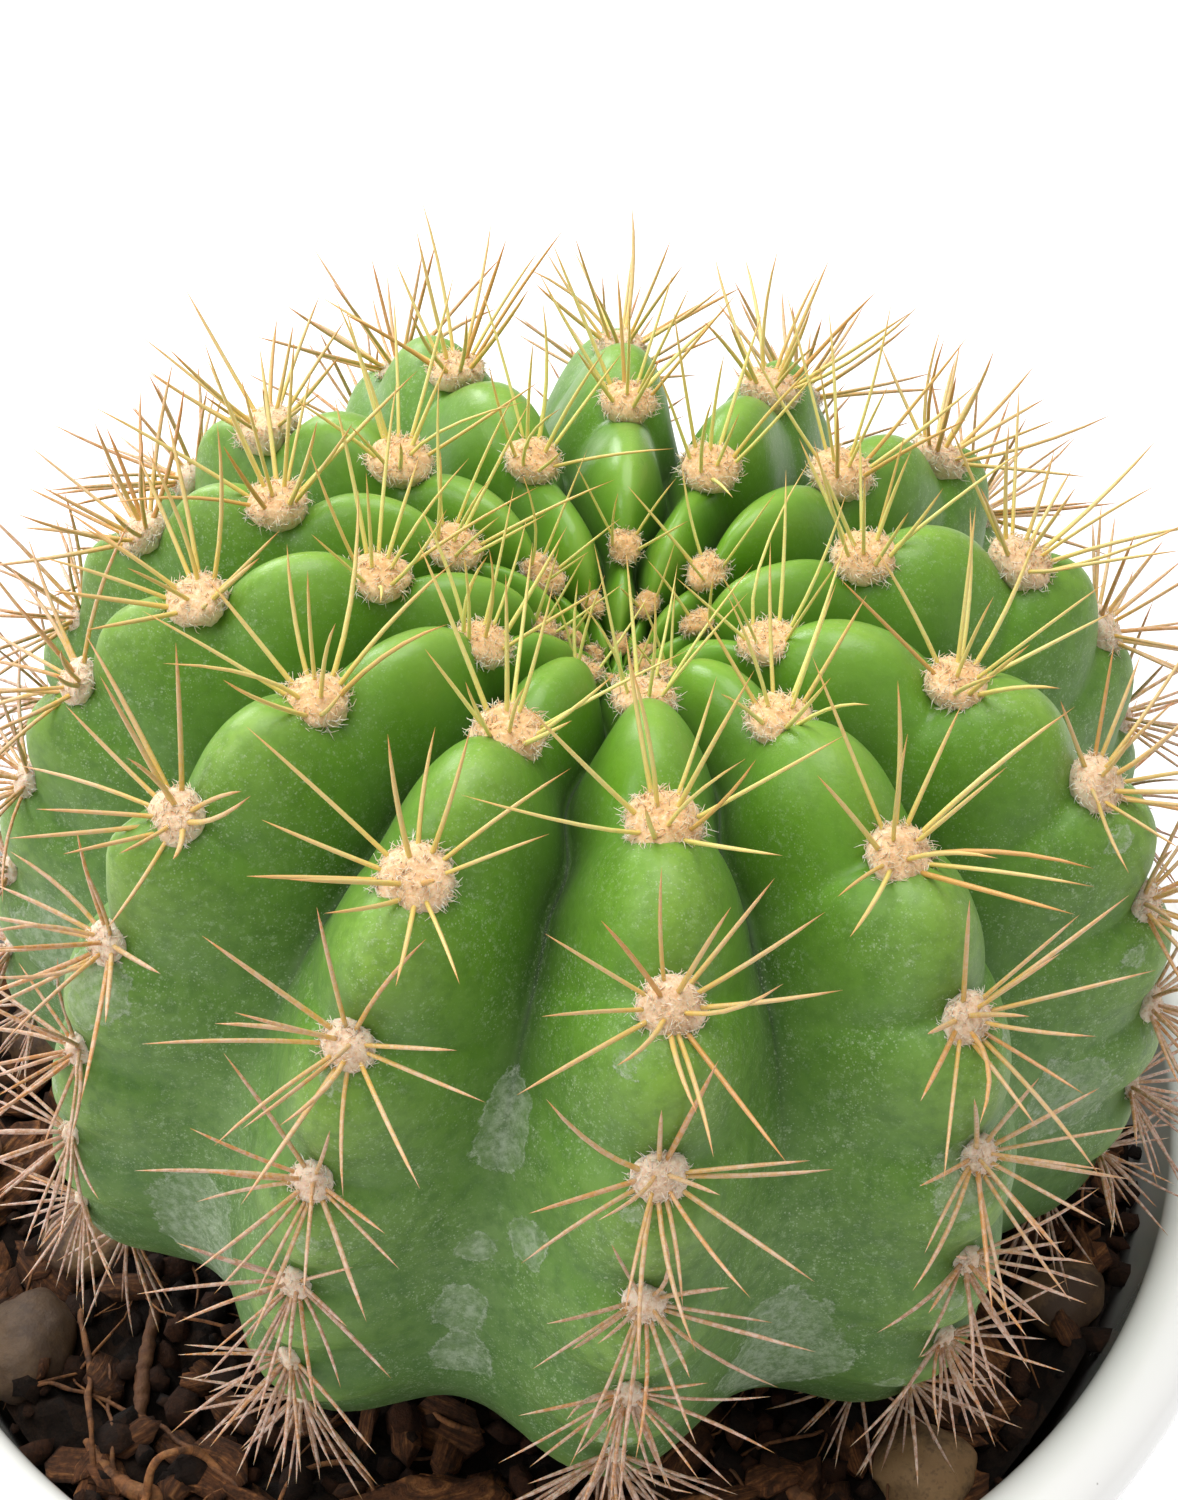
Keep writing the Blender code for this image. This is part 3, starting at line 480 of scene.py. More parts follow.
def step_at(arc):
    """Steps out at an arc length: a logarithm in the crown, then the root of the parabola."""
    share = arc / BODY_RADIUS
    inner = np.log(np.maximum(share, 1e-4) / CROWN_ARC) / CROWN_GROWTH
    under_root = np.maximum(STEP_ARC ** 2 - 4 * STEP_SHRINK * (share - CROWN_ARC), 0)
    return np.where(share < CROWN_ARC, inner, (STEP_ARC - np.sqrt(under_root)) / (2 * STEP_SHRINK))


def placed(points):
    """Leans points of the upright body frame and sets them in the pot."""
    return points @ LEAN.T + BODY_CENTRE


def around_body(azimuth, radius, height):
    """Points of the upright body frame from azimuth, radius and height."""
    return np.stack((-np.sin(azimuth) * radius, -np.cos(azimuth) * radius, height + 0 * azimuth), -1)


def fullness(arc, rib):
    """How wide a rib has grown at an arc length: one wave of a cosine from each areole to the next."""
    return (1 - np.cos(2 * np.pi * ((step_at(arc) - RIB_PHASE[rib]) % 1) ** WEAVE_LEAN)) / 2


def skin(arc, rib, across):
    """Points of the ribbed skin, and the steps from the nearest areole of the rib.

    across runs from -1 in one valley over 0 on the crest to 1 in the next. In the crown the valleys weave
    from side to side, away from the fuller of two ribs, and its middle sinks in. The skin lies under the
    crest line by the valley's depth times a power of across, and lower down a half cosine wave. Between two
    areoles it swells by a leaning sine wave, which is fullest just below the upper one. At each areole a
    bell-shaped dimple goes in, and lower down a fold lies above it.
    """
    beside = np.where(across < 0, rib - 1, rib + 1) % RIBS
    gap = np.where(across < 0, HALF_GAP[rib - 1], HALF_GAP[rib])
    gap = gap * (1 + graded(WEAVE, arc) * (fullness(arc, rib) - fullness(arc, beside)))
    azimuth = RIB_AZIMUTH[rib] + across * gap
    radius, height, out, up = crest_at(arc)
    height = height - graded(CROWN_PIT, arc)
    reach = np.abs(across)
    soft = graded(VALLEY_SOFTNESS, arc)
    drop = reach ** graded(VALLEY_SHARPNESS, arc) * (1 - soft) + (1 - np.cos(np.pi * reach)) / 2 * soft
    steps = step_at(arc) - RIB_PHASE[rib]
    between = steps % 1
    nearest = (steps + 0.5) % 1 - 0.5
    pace = BODY_RADIUS * np.where(
        steps + RIB_PHASE[rib] < 0, CROWN_GROWTH * arc / BODY_RADIUS,
        STEP_ARC - 2 * STEP_SHRINK * np.maximum(steps + RIB_PHASE[rib], 0))
    away = np.hypot(nearest * pace, across * HALF_GAP[rib] * radius)
    swell = np.sin(np.pi * between ** HUMP_LEAN) * (1 - reach ** 2) ** graded(HUMP_NARROWNESS, arc)
    pull = graded(HUMP_HEIGHT, arc) * swell - graded(VALLEY_DEPTH, arc) * drop
    pull = pull - graded(DIMPLE_DEPTH, arc) * np.exp(-(away / graded(DIMPLE_REACH, arc)) ** 2)
    fold = np.exp(-((nearest * pace + FOLD_BACK + 2 * reach) / FOLD_WIDTH) ** 2)
    pull = pull - graded(FOLD_DEPTH, arc) * fold * (1 - reach ** 2) ** 4
    radius = np.maximum(radius + out * pull, 0)
    height = height + up * pull
    rise = np.maximum(np.arctan2(height, radius), 0) / (np.pi / 2)
    points = around_body(azimuth, radius, height) + CROWN_SHIFT * rise[..., None] ** 2
    return placed(points), nearest


def areole_places():
    """Rib and arc length of every areole, and its seat on the skin with its outward, crownward and sideways
    directions, as arrays. The outward one is the crest line's."""
    steps = np.arange(AREOLE_STEPS[0], AREOLE_STEPS[1] + 1)
    rib, step = (grid.ravel() for grid in np.meshgrid(np.arange(RIBS), steps, indexing="ij"))
    arc = step_place(step + RIB_PHASE[rib])
    kept = (arc > AREOLE_ARCS[0]) & (arc < AREOLE_ARCS[1])
    rib, arc = rib[kept], arc[kept]
    seat, _ = skin(arc, rib, np.zeros(len(rib)))
    _, _, out, up = crest_at(arc)
    azimuth = RIB_AZIMUTH[rib]
    normal = around_body(azimuth, out, up) @ LEAN.T
    crownward = around_body(azimuth, -up, out) @ LEAN.T
    return rib, arc, seat, normal, crownward, np.cross(normal, crownward)


# Mesh makers


def surface(name, points, faces, material, values=None, stands_for=()):
    """A piece from points in millimetres and triangles, with named values on its points."""
    mesh = bpy.data.meshes.new(name)
    mesh.vertices.add(len(points))
    mesh.vertices.foreach_set("co", np.ascontiguousarray(points * MM, np.float32).ravel())
    mesh.loops.add(faces.size)
    mesh.loops.foreach_set("vertex_index", np.ascontiguousarray(faces, np.int32).ravel())
    mesh.polygons.add(len(faces))
    mesh.polygons.foreach_set("loop_start", np.arange(0, faces.size, 3, dtype=np.int32))
    mesh.polygons.foreach_set("use_smooth", np.ones(len(faces), bool))
    for key, data in (values or {}).items():
        layer = mesh.attributes.new(key, "FLOAT", "POINT")
        layer.data.foreach_set("value", np.ascontiguousarray(data, np.float32).ravel())
    mesh.update(calc_edges=True)
    mesh.materials.append(material)
    piece = bpy.data.objects.new(name, mesh)
    bpy.context.scene.collection.objects.link(piece)
    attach(piece, BODY)
    if stands_for:
        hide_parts(*stands_for)
    return piece


def grid_faces(rows, columns, wraps=True):
    """Triangles between neighbouring points of a grid, whose columns join up again if it wraps."""
    row, column = np.meshgrid(np.arange(rows - 1), np.arange(columns - (not wraps)), indexing="ij")
    here, below = row * columns + column, (row + 1) * columns + column
    right = row * columns + (column + 1) % columns
    below_right = (row + 1) * columns + (column + 1) % columns
    halves = np.stack((np.stack((here, right, below_right), -1), np.stack((here, below_right, below), -1)), 2)
    return halves.reshape(-1, 3)


def capped_faces(rows, columns):
    """Grid triangles with a fan to one more point at each end: first the start's, then the end's."""
    column = np.arange(columns)
    after = (column + 1) % columns
    last = (rows - 1) * columns
    start = np.stack((np.full(columns, rows * columns), after, column), -1)
    end = np.stack((np.full(columns, rows * columns + 1), last + column, last + after), -1)
    return np.vstack((grid_faces(rows, columns), start, end))


def capped(rings, start, end):
    """Points of a closed skin of stacked rings and its triangles, for one shape or for many at once."""
    many, rows, columns, _ = rings.shape
    points = np.concatenate((rings.reshape(many, -1, 3), start[:, None], end[:, None]), 1)
    faces = capped_faces(rows, columns)[None] + np.arange(many)[:, None, None] * points.shape[1]
    return points.reshape(-1, 3), faces.reshape(-1, 3)


def tubes(paths, radii, sides):
    """Closed tubes along many paths at once: a ring of points stands square to each point of a path, and the
    two ends close on the path's own end points."""
    along = unit(np.gradient(paths, axis=1))
    least = np.eye(3)[np.argmin(np.abs(along[:, 0]), axis=1)]
    side = unit(np.cross(along, least[:, None]))
    other = np.cross(along, side)
    angle = 2 * np.pi * np.arange(sides) / sides
    spokes = side[:, :, None] * np.cos(angle)[:, None] + other[:, :, None] * np.sin(angle)[:, None]
    rings = paths[:, :, None] + spokes * radii[:, :, None, None]
    return capped(rings, paths[:, 0], paths[:, -1])


def tube_values(per_path, per_step, sides):
    """Values for the points of tubes: one number for each path, and one for each step along it."""
    many, steps = len(per_path), len(per_step)
    stepwise = np.concatenate((np.repeat(per_step, sides), per_step[:1], per_step[-1:]))
    return np.repeat(per_path, steps * sides + 2), np.tile(stepwise, many)


# Materials


class Shade:
    """A number or colour on its way through a material's nodes. Its sums, products and powers are nodes."""

    def __init__(self, finish, socket):
        self.finish, self.socket = finish, socket

    def join(self, operation, first, second, clamp=False):
        """One step of arithmetic."""
        return self.finish.node("ShaderNodeMath", {0: first, 1: second}, operation=operation, use_clamp=clamp)

    def __add__(self, other):
        return self.join("ADD", self, other)

    def __sub__(self, other):
        return self.join("SUBTRACT", self, other)

    def __rsub__(self, other):
        return self.join("SUBTRACT", other, self)

    def __mul__(self, other):
        return self.join("MULTIPLY", self, other)

    def __pow__(self, other):
        return self.join("POWER", self, other)

    def larger(self, other):
        """The larger of the two."""
        return self.join("MAXIMUM", self, other)

    def limited(self, other):
        """The product of the two, kept between 0 and 1."""
        return self.join("MULTIPLY", self, other, True)

    def ramp(self, *stops):
        """Greys or colours between stops given as (place, shade)."""
        made = self.finish.node("ShaderNodeValToRGB", {"Fac": self}, "Color")
        cells = made.socket.node.color_ramp.elements
        while len(cells) < len(stops):
            cells.new(0.5)
        for cell, (place, shade) in zip(cells, stops):
            cell.position = place
            cell.color = (*shade, 1) if isinstance(shade, tuple) else (shade, shade, shade, 1)
        return made


class Finish:
    """A material with one Principled shader, and short ways to the nodes that feed it."""

    def __init__(self, name, **fixed):
        """Fixed values go to the shader's own sockets, named in lower case with underscores."""
        self.material = bpy.data.materials.new(name)
        self.material.use_nodes = True
        self.tree = self.material.node_tree
        self.shader = self.tree.nodes["Principled BSDF"]
        for key, value in fixed.items():
            self.shader.inputs[key.replace("_", " ").title().replace("Ior", "IOR")].default_value = value
        self.place = self.node("ShaderNodeTexCoord", {}, "Object")

    def node(self, kind, sockets, output=0, **settings):
        """What comes out of a new node, whose sockets are set to values or joined to shades."""
        made = self.tree.nodes.new(kind)
        for key, value in settings.items():
            setattr(made, key, value)
        for key, value in sockets.items():
            if isinstance(value, Shade):
                self.tree.links.new(value.socket, made.inputs[key])
            else:
                made.inputs[key].default_value = (*value, 1) if isinstance(value, tuple) else value
        return Shade(self, made.outputs[output])

    def stored(self, *names):
        """Values kept on the mesh."""
        return [self.node("ShaderNodeAttribute", {}, "Fac", attribute_name=name) for name in names]

    def grain(self, scale, detail=4.0, rough=0.6, place=None):
        """Noise at a scale, as a grey."""
        return self.node("ShaderNodeTexNoise", {
            "Vector": place or self.place, "Scale": scale, "Detail": detail, "Roughness": rough}, "Fac")

    def cells(self, scale):
        """Scattered cells at a scale: the distance from each one's middle, and a random colour for each."""
        sockets = {"Vector": self.place, "Scale": scale}
        near = self.node("ShaderNodeTexVoronoi", sockets, "Distance", feature="F1")
        return near, Shade(self, near.socket.node.outputs["Color"])

    def mix(self, share, first, second):
        """Two colours mixed by a share."""
        return self.node("ShaderNodeMix", {0: share, 6: first, 7: second}, 2, data_type="RGBA")

    def coats(self, base, *coats):
        """A base colour under coats of others, each given as (share, colour)."""
        for share, colour in coats:
            base = self.mix(share, base, colour)
        return base

    def done(self, colour, relief=None, roughness=None):
        """The material, with a relief given as (height, strength, depth in metres)."""
        shades = {"Base Color": colour}
        if relief:
            sockets = zip(("Height", "Strength", "Distance"), relief)
            shades["Normal"] = self.node("ShaderNodeBump", dict(sockets))
        if roughness:
            shades["Roughness"] = roughness
        for key, shade in shades.items():
            self.tree.links.new(shade.socket, self.shader.inputs[key])
        return self.material


def dimmed(colour, share):
    """A colour times a share."""
    return tuple(share * part for part in colour)


def skin_material(young, old):
    """Waxy green skin: bright and glossy in the crown, hazier and thick with fine pale dots lower down, with
    pale corky scars. The hump crests carry a painted highlight, the creases and deep valleys painted shade,
    and the skin darkens towards the soil as painted shade."""
    skin = Finish("waxy_skin", ior=1.45, sheen_weight=0.02, sheen_roughness=0.5, subsurface_weight=0.2,
                  subsurface_scale=0.003, subsurface_radius=(0.55, 1.0, 0.25))
    age, ridge, hump, worn = skin.stored("age", "ridge", "hump", "worn")
    # From age 0.62 on the green darkens towards the old green: painted shade where the flesh turns under to
    # the soil
    green = age.ramp(
        (0.0, young), (0.3, (0.108, 0.27, 0.009)), (0.45, (0.095, 0.228, 0.012)),
        (0.62, (0.085, 0.198, 0.016)), (0.75, (0.057, 0.144, 0.014)), (0.83, (0.025, 0.068, 0.009)),
        (1.0, old))
    cloud = skin.grain(120).ramp((0.38, 0.0), (0.66, 1.0)) * age.ramp((0.4, 0.3), (0.8, 0.12))
    valley = (1.0 - ridge) ** 4.5
    # Valleys: dark in the crown and near the soil as painted shade in the deep creases, paler around age 0.6
    # with the skin's own waxy stripes
    valley_shade_and_wax = age.ramp(
        (0.3, (0.018, 0.075, 0.002)), (0.46, (0.04, 0.115, 0.01)), (0.6, (0.14, 0.25, 0.07)),
        (0.74, (0.09, 0.18, 0.04)), (0.9, (0.03, 0.08, 0.01)))
    # Painted shade: the tight creases of the crown made near black
    crease_shade = (1.0 - ridge) ** 15.0 * age.ramp((0.4, 0.8), (0.56, 0.0))
    bloom = skin.grain(210, 6, 0.65).ramp((0.38, 0.05), (0.68, 1.0)) * age.ramp(
        (0.02, 0.02), (0.14, 0.08), (0.3, 0.07), (0.62, 0.13), (0.8, 0.05))
    mottle = skin.grain(900, 4, 0.65).ramp((0.36, 0.5), (0.56, 0.0)) * age.ramp(
        (0.12, 0.05), (0.34, 0.55), (0.6, 1.0))
    near, shade = skin.cells(4700)
    dot = (near - shade * 0.27).ramp((0.0, 1.0), (0.1, 0.0))
    dust = skin.grain(2300, 5, 0.8).ramp((0.53, 0.0), (0.68, 1.0))
    near, shade = skin.cells(1500)
    blot = (near - shade * 0.15).ramp((0.0, 1.0), (0.03, 0.0))
    patchy = skin.grain(190, 5).ramp((0.4, 0.12), (0.62, 1.0))
    speck = (dot * 0.7 + dust * 0.7).larger(blot * 0.7).limited(patchy)
    speck = speck * age.ramp((0.1, 0.08), (0.24, 0.5), (0.36, 0.85), (0.6, 0.95))
    ragged = (worn + skin.grain(330, 8, 0.72) * 1.5) * 0.5
    crust = skin.grain(1500, 7, 0.8).ramp((0.42, 0.0), (0.58, 1.0))
    film = ragged.ramp((0.53, 0.0), (0.62, 0.3), (0.76, 0.62)) * (crust * 0.75 + 0.25)
    edge = ragged.ramp((0.53, 0.0), (0.56, 0.85), (0.6, 0.3), (0.8, 0.15)) * (crust + 0.15)
    scar = edge.larger(film)
    colour = skin.coats(
        green,
        (cloud, (0.18, 0.34, 0.07)),
        # Painted highlight: the crests of the humps lightened to a yellow green
        (ridge ** 2.6 * hump * 0.5, (0.32, 0.50, 0.07)),
        (valley * 0.68, valley_shade_and_wax),
        (crease_shade, (0.008, 0.032, 0.002)),
        (bloom, (0.37, 0.47, 0.23)),
        (mottle, (0.035, 0.115, 0.01)),
        (speck * 0.68, (0.58, 0.70, 0.46)),
        (scar * 0.78, (0.54, 0.62, 0.47)),
    )
    roughness = skin.coats(
        age.ramp((0.0, 0.26), (0.14, 0.3), (0.26, 0.4), (0.42, 0.5), (1.0, 0.62)),
        (scar.larger(valley), (0.8, 0.8, 0.8)),
        (0.22, skin.grain(500).ramp((0.3, 0.1), (0.7, 0.7))),
    )
    height = skin.grain(420, 5) * 1.6 + speck * 0.4 + scar * 1.2
    return skin.done(colour, (height, 0.5, 0.00012), roughness)


def wool_material(name, warm, pale):
    """Felt of fine curled hairs: cream and peach, paler at the tips and on old pads, with painted shade in
    flecks between the curls.
    """
    wool = Finish(name, roughness=0.95, sheen_weight=0.2, subsurface_weight=0.25, subsurface_scale=0.0008)
    age, tint, along = wool.stored("age", "tint", "along")
    felt = wool.grain(3400, 3, 0.7)
    colour = wool.coats(
        warm,
        (age.ramp((0.22, 0.0), (0.5, 1.0)), pale),
        (age.ramp((0.05, 0.7), (0.1, 0.0)), (0.42, 0.28, 0.13)),
        (tint * age.ramp((0.24, 0.72), (0.42, 0.26)), (0.76, 0.42, 0.14)),
        (along * 0.4, (0.98, 0.88, 0.68)),
        # Dark flecks are painted shade in the gaps between curls; pale flecks are pale curls, partly painted
        # highlight
        (felt.ramp((0.34, 0.55), (0.5, 0.0)), (0.56, 0.28, 0.10)),
        (felt.ramp((0.54, 0.0), (0.68, 0.45)), (0.96, 0.88, 0.74)),
    )
    return wool.done(colour, (felt, 0.7, 0.00015))


def spine_material(base_colour, tip_colour):
    """Horny spines: golden at the base, tan and pinkish further out, orange brown at the tip; older ones
    carry pale patches that are partly chalky weathering and partly painted sheen.
    """
    horn = Finish("spine_horn", roughness=0.42, subsurface_weight=0.2, subsurface_scale=0.0005,
                  coat_weight=0.15, coat_roughness=0.3)
    age, tint, along = horn.stored("age", "tint", "along")
    young = along.ramp(
        (0.0, (0.76, 0.70, 0.16)), (0.4, (0.84, 0.82, 0.28)), (0.8, (0.84, 0.70, 0.22)),
        (1.0, (0.62, 0.30, 0.07)))
    grown = along.ramp(
        (0.0, base_colour), (0.28, (0.68, 0.44, 0.10)), (0.5, (0.64, 0.43, 0.19)),
        (0.82, (0.62, 0.38, 0.16)), (1.0, tip_colour))
    old = along.ramp(
        (0.0, (0.62, 0.36, 0.05)), (0.24, (0.44, 0.24, 0.12)), (0.8, (0.38, 0.21, 0.14)),
        (1.0, (0.52, 0.24, 0.06)))
    tanned = tint.ramp((0.55, 0.0), (0.8, 0.65)) * age.ramp((0.1, 0.2), (0.24, 1.0))
    weathered = horn.grain(2600, 4, 0.7)
    # Pale patches on older spines: partly chalky weathering, partly painted sheen
    chalk_and_sheen = weathered.ramp((0.44, 0.0), (0.56, 1.0)) * age.ramp(
        (0.32, 0.02), (0.44, 0.3), (0.6, 0.44), (0.75, 0.52))
    colour = horn.coats(
        young,
        (age.ramp((0.16, 0.0), (0.4, 1.0)), grown),
        (age.ramp((0.42, 0.0), (0.64, 1.0)), old),
        (tanned, (0.58, 0.25, 0.05)),
        (chalk_and_sheen, (0.76, 0.64, 0.56)),
    )
    return horn.done(colour, (weathered, 0.6, 0.00012))


def glaze_material(colour):
    """Glossy white glaze over ceramic, with a few dark pinholes; the underside is bare and matte, and the
    inner wall turns browner towards the mix.
    """
    glaze = Finish("white_glaze", coat_weight=0.6, coat_roughness=0.06, ior=1.5)
    raw, inner_browning = glaze.stored("raw", "inner_browning")
    near, shade = glaze.cells(210)
    pin = near.ramp((0.012, 1.0), (0.024, 0.0)) * shade.ramp((0.66, 0.0), (0.7, 1.0))
    tone = glaze.coats(
        colour,
        (glaze.grain(35, 2).ramp((0.35, 0.0), (0.7, 1.0)), dimmed(colour, 0.965)),
        (pin * 0.7, (0.22, 0.18, 0.14)),
        (inner_browning * glaze.grain(300, 6, 0.7).ramp((0.3, 0.5), (0.6, 1.0)), (0.50, 0.37, 0.22)),
        (raw, glaze.mix(glaze.grain(900, 5), (0.72, 0.66, 0.57), (0.52, 0.46, 0.38))),
    )
    roughness = glaze.mix(raw, glaze.grain(60, 3).ramp((0.3, 0.08), (0.7, 0.16)), (0.85, 0.85, 0.85))
    return glaze.done(tone, (glaze.grain(120, 2) - pin, 0.08, 0.0003), roughness)


def earth_material(name, dark, brown, tints=True):
    """Damp crumbly mix: near black, with brown crumbs."""
    earth = Finish(name, roughness=0.9, specular_ior_level=0.25)
    near, shade = earth.cells(620)
    tone = earth.mix(shade.ramp((0.3, 0.0), (0.85, 1.0)), dark, brown)
    if tints:
        tone = earth.mix(*earth.stored("tint"), tone, (0.07, 0.024, 0.009))
    tone = earth.mix(earth.grain(1800, 6, 0.75).ramp((0.4, 0.6), (0.66, 0.0)), tone, dimmed(dark, 0.35))
    return earth.done(tone, (earth.grain(900, 6, 0.7) + near, 0.9, 0.0006))


def bark_material(colour):
    """Pine bark: thin reddish layers with dark cracks along the grain."""
    bark = Finish("pine_bark", roughness=0.86, specular_ior_level=0.3)
    lengthwise, layer, tint = bark.stored("lengthwise", "layer", "tint")
    grained = bark.node("ShaderNodeCombineXYZ", {"X": lengthwise * 0.22, "Y": layer, "Z": tint * 40.0})
    streaks = bark.grain(1.1, 8, 0.72, grained)
    tone = bark.coats(
        streaks.ramp((0.3, dimmed(colour, 0.12)), (0.42, dimmed(colour, 0.7)), (0.5, colour),
                     (0.58, (0.30, 0.115, 0.036)), (0.69, (0.50, 0.24, 0.09))),
        (tint * 0.55, (0.024, 0.011, 0.006)),
        (bark.grain(1500, 5, 0.7).ramp((0.4, 0.6), (0.55, 0.0)), (0.018, 0.009, 0.005)),
    )
    return bark.done(tone, (streaks + bark.grain(2200) * 0.3, 0.9, 0.0006))


def pebble_material(colour):
    """Worn tan stone with darker grains and soil stains; its lighter patches are painted highlights, and each
    stone's own darkening is partly painted shade and partly soil stain.
    """
    stone = Finish("tan_pebble", roughness=0.68)
    tone = stone.coats(
        colour,
        # Painted highlight: lighter patches on the stone
        (stone.grain(260, 6, 0.65).ramp((0.35, 0.0), (0.7, 1.0)), (0.40, 0.25, 0.11)),
        (stone.grain(1900, 3).ramp((0.56, 0.0), (0.66, 0.7)), (0.16, 0.09, 0.045)),
        (stone.grain(130, 6, 0.72).ramp((0.4, 0.0), (0.56, 0.95)), (0.045, 0.02, 0.009)),
        # Per-stone darkening: partly painted shade, partly soil stain
        (*stone.stored("tint"), (0.05, 0.026, 0.012)),
    )
    return stone.done(tone, (stone.grain(1300, 6, 0.7), 0.5, 0.0003))


def root_material(colour):
    """Dry fibrous root: orange brown, darker where the bark has cracked across, with lighter patches painted
    as highlights.
    """
    root = Finish("dry_root", roughness=0.78)
    along, tint = root.stored("along", "tint")
    rings = root.node("ShaderNodeCombineXYZ", {"X": along * 12.0, "Z": tint})
    patches = root.grain(1.5, 5, 0.7, rings) * 0.5 + root.grain(700, 5, 0.7) * 0.5
    tone = root.coats(
        # The lightest stop is a painted highlight
        patches.ramp((0.4, dimmed(colour, 0.25)), (0.5, colour), (0.62, (0.42, 0.19, 0.06))),
        (tint * 0.75, (0.05, 0.02, 0.009)),
        (root.grain(1700, 5, 0.7).ramp((0.38, 0.5), (0.58, 0.0)), (0.07, 0.035, 0.018)),
    )
    return root.done(tone, (root.grain(1500, 5, 0.7), 0.8, 0.0003))


def floor_material(colour):
    """A plain pale table top with a faint unevenness."""
    top = Finish("pale_floor", roughness=0.7)
    return top.done(top.mix(top.grain(6, 3), colour, dimmed(colour, 0.985)))


# Plant


def age_at(arc):
    """Age of the flesh, from 0 at the growing point to 1 where it is full."""
    return np.clip(arc / FULL_AGE, 0, 1)


def near_spot(points, spot, size):
    """A bell round a spot of the skin, given as rib, arc and across: 1 there and 1/e at its size."""
    centre, _ = skin(np.array(float(spot[1])), np.array(spot[0]), np.array(float(spot[2])))
    return np.exp(-np.sum((points - centre) ** 2, -1) / size ** 2)


def make_flesh(settings):
    """The ribbed body: rows of constant arc length and columns of constant place across a rib, from the
    growing point over the crests to the end of the buried neck."""
    across = np.tile(np.linspace(-1, 1, FLESH_COLUMNS, endpoint=False), RIBS)
    rib = np.repeat(np.arange(RIBS), FLESH_COLUMNS)
    share = np.linspace(0, 1, FLESH_ROWS)
    share = FLESH_EVENNESS * share + (1 - FLESH_EVENNESS) * share ** 2
    arcs = np.concatenate((
        FLESH_START + (FLESH_END - FLESH_START) * share,
        np.linspace(FLESH_END, CREST_ARC[-1], NECK_ROWS + 1)[1:-1],
    ))
    arc, across = np.meshgrid(arcs, across, indexing="ij")
    rib = np.broadcast_to(rib, arc.shape)
    points, _ = skin(arc, rib, across)
    ends = placed(np.array((CROWN_SHIFT + (0, 0, CREST[0, 1]), (0, 0, CREST[-1, 1]))))
    outward = unit(points - placed(np.zeros(3)))
    points = points + outward * (unevenness(points, *SKIN_RIPPLES) * graded(RIPPLE_SHARE, arc))[..., None]
    for *spot, size, lift in BUMPS:
        points = points + outward * (lift * near_spot(points, spot, size))[..., None]
    worn = sum(near_spot(points, spot, size) for *spot, size in SCARS)
    areole_rib, areole_arc, *_ = areole_places()
    draw = np.random.default_rng(CRUST_SEED)
    for beside, place in zip(areole_rib, areole_arc):
        shift, aside, strength = draw.uniform(*CRUST_RANGE)
        if place > CRUST_FROM:
            worn = worn + strength * near_spot(points, (beside, place + shift, aside), CRUST_SIZE)
    values = {
        "age": (age_at(arc), (0, 1)), "ridge": (1 - np.abs(across), (1, 1)),
        "hump": (fullness(arc, rib), (0, 0)), "worn": (np.clip(worn, 0, 1), (0, 0)),
    }
    grid, faces = capped(points[None], ends[:1], ends[1:])
    values = {key: np.concatenate((data.ravel(), caps)) for key, (data, caps) in values.items()}
    finish = skin_material(tuple(settings.young_green), tuple(settings.shaded_old_green))
    surface("cactus_flesh", grid, faces, finish, values, ("cactus",))


def pad_middles(rib, arc, seat, normal, crownward, tall):
    """Middles of the pads: moved a little outward from the notch, and up by a share of the mean height of the
    humps on either side."""
    shift = graded(PAD_SHIFT, arc)
    humps = 0
    for way in (-1, 1):
        foot, _ = skin(np.maximum(arc + shift + way * tall, NEAREST_ARC), rib, np.zeros(len(arc)))
        humps = humps + np.sum((foot - seat) * normal, -1) / 2
    level = PAD_FILL * np.maximum(humps, 0) + graded(PAD_LIFT, arc)
    return seat - crownward * shift[:, None] + normal * level[:, None]


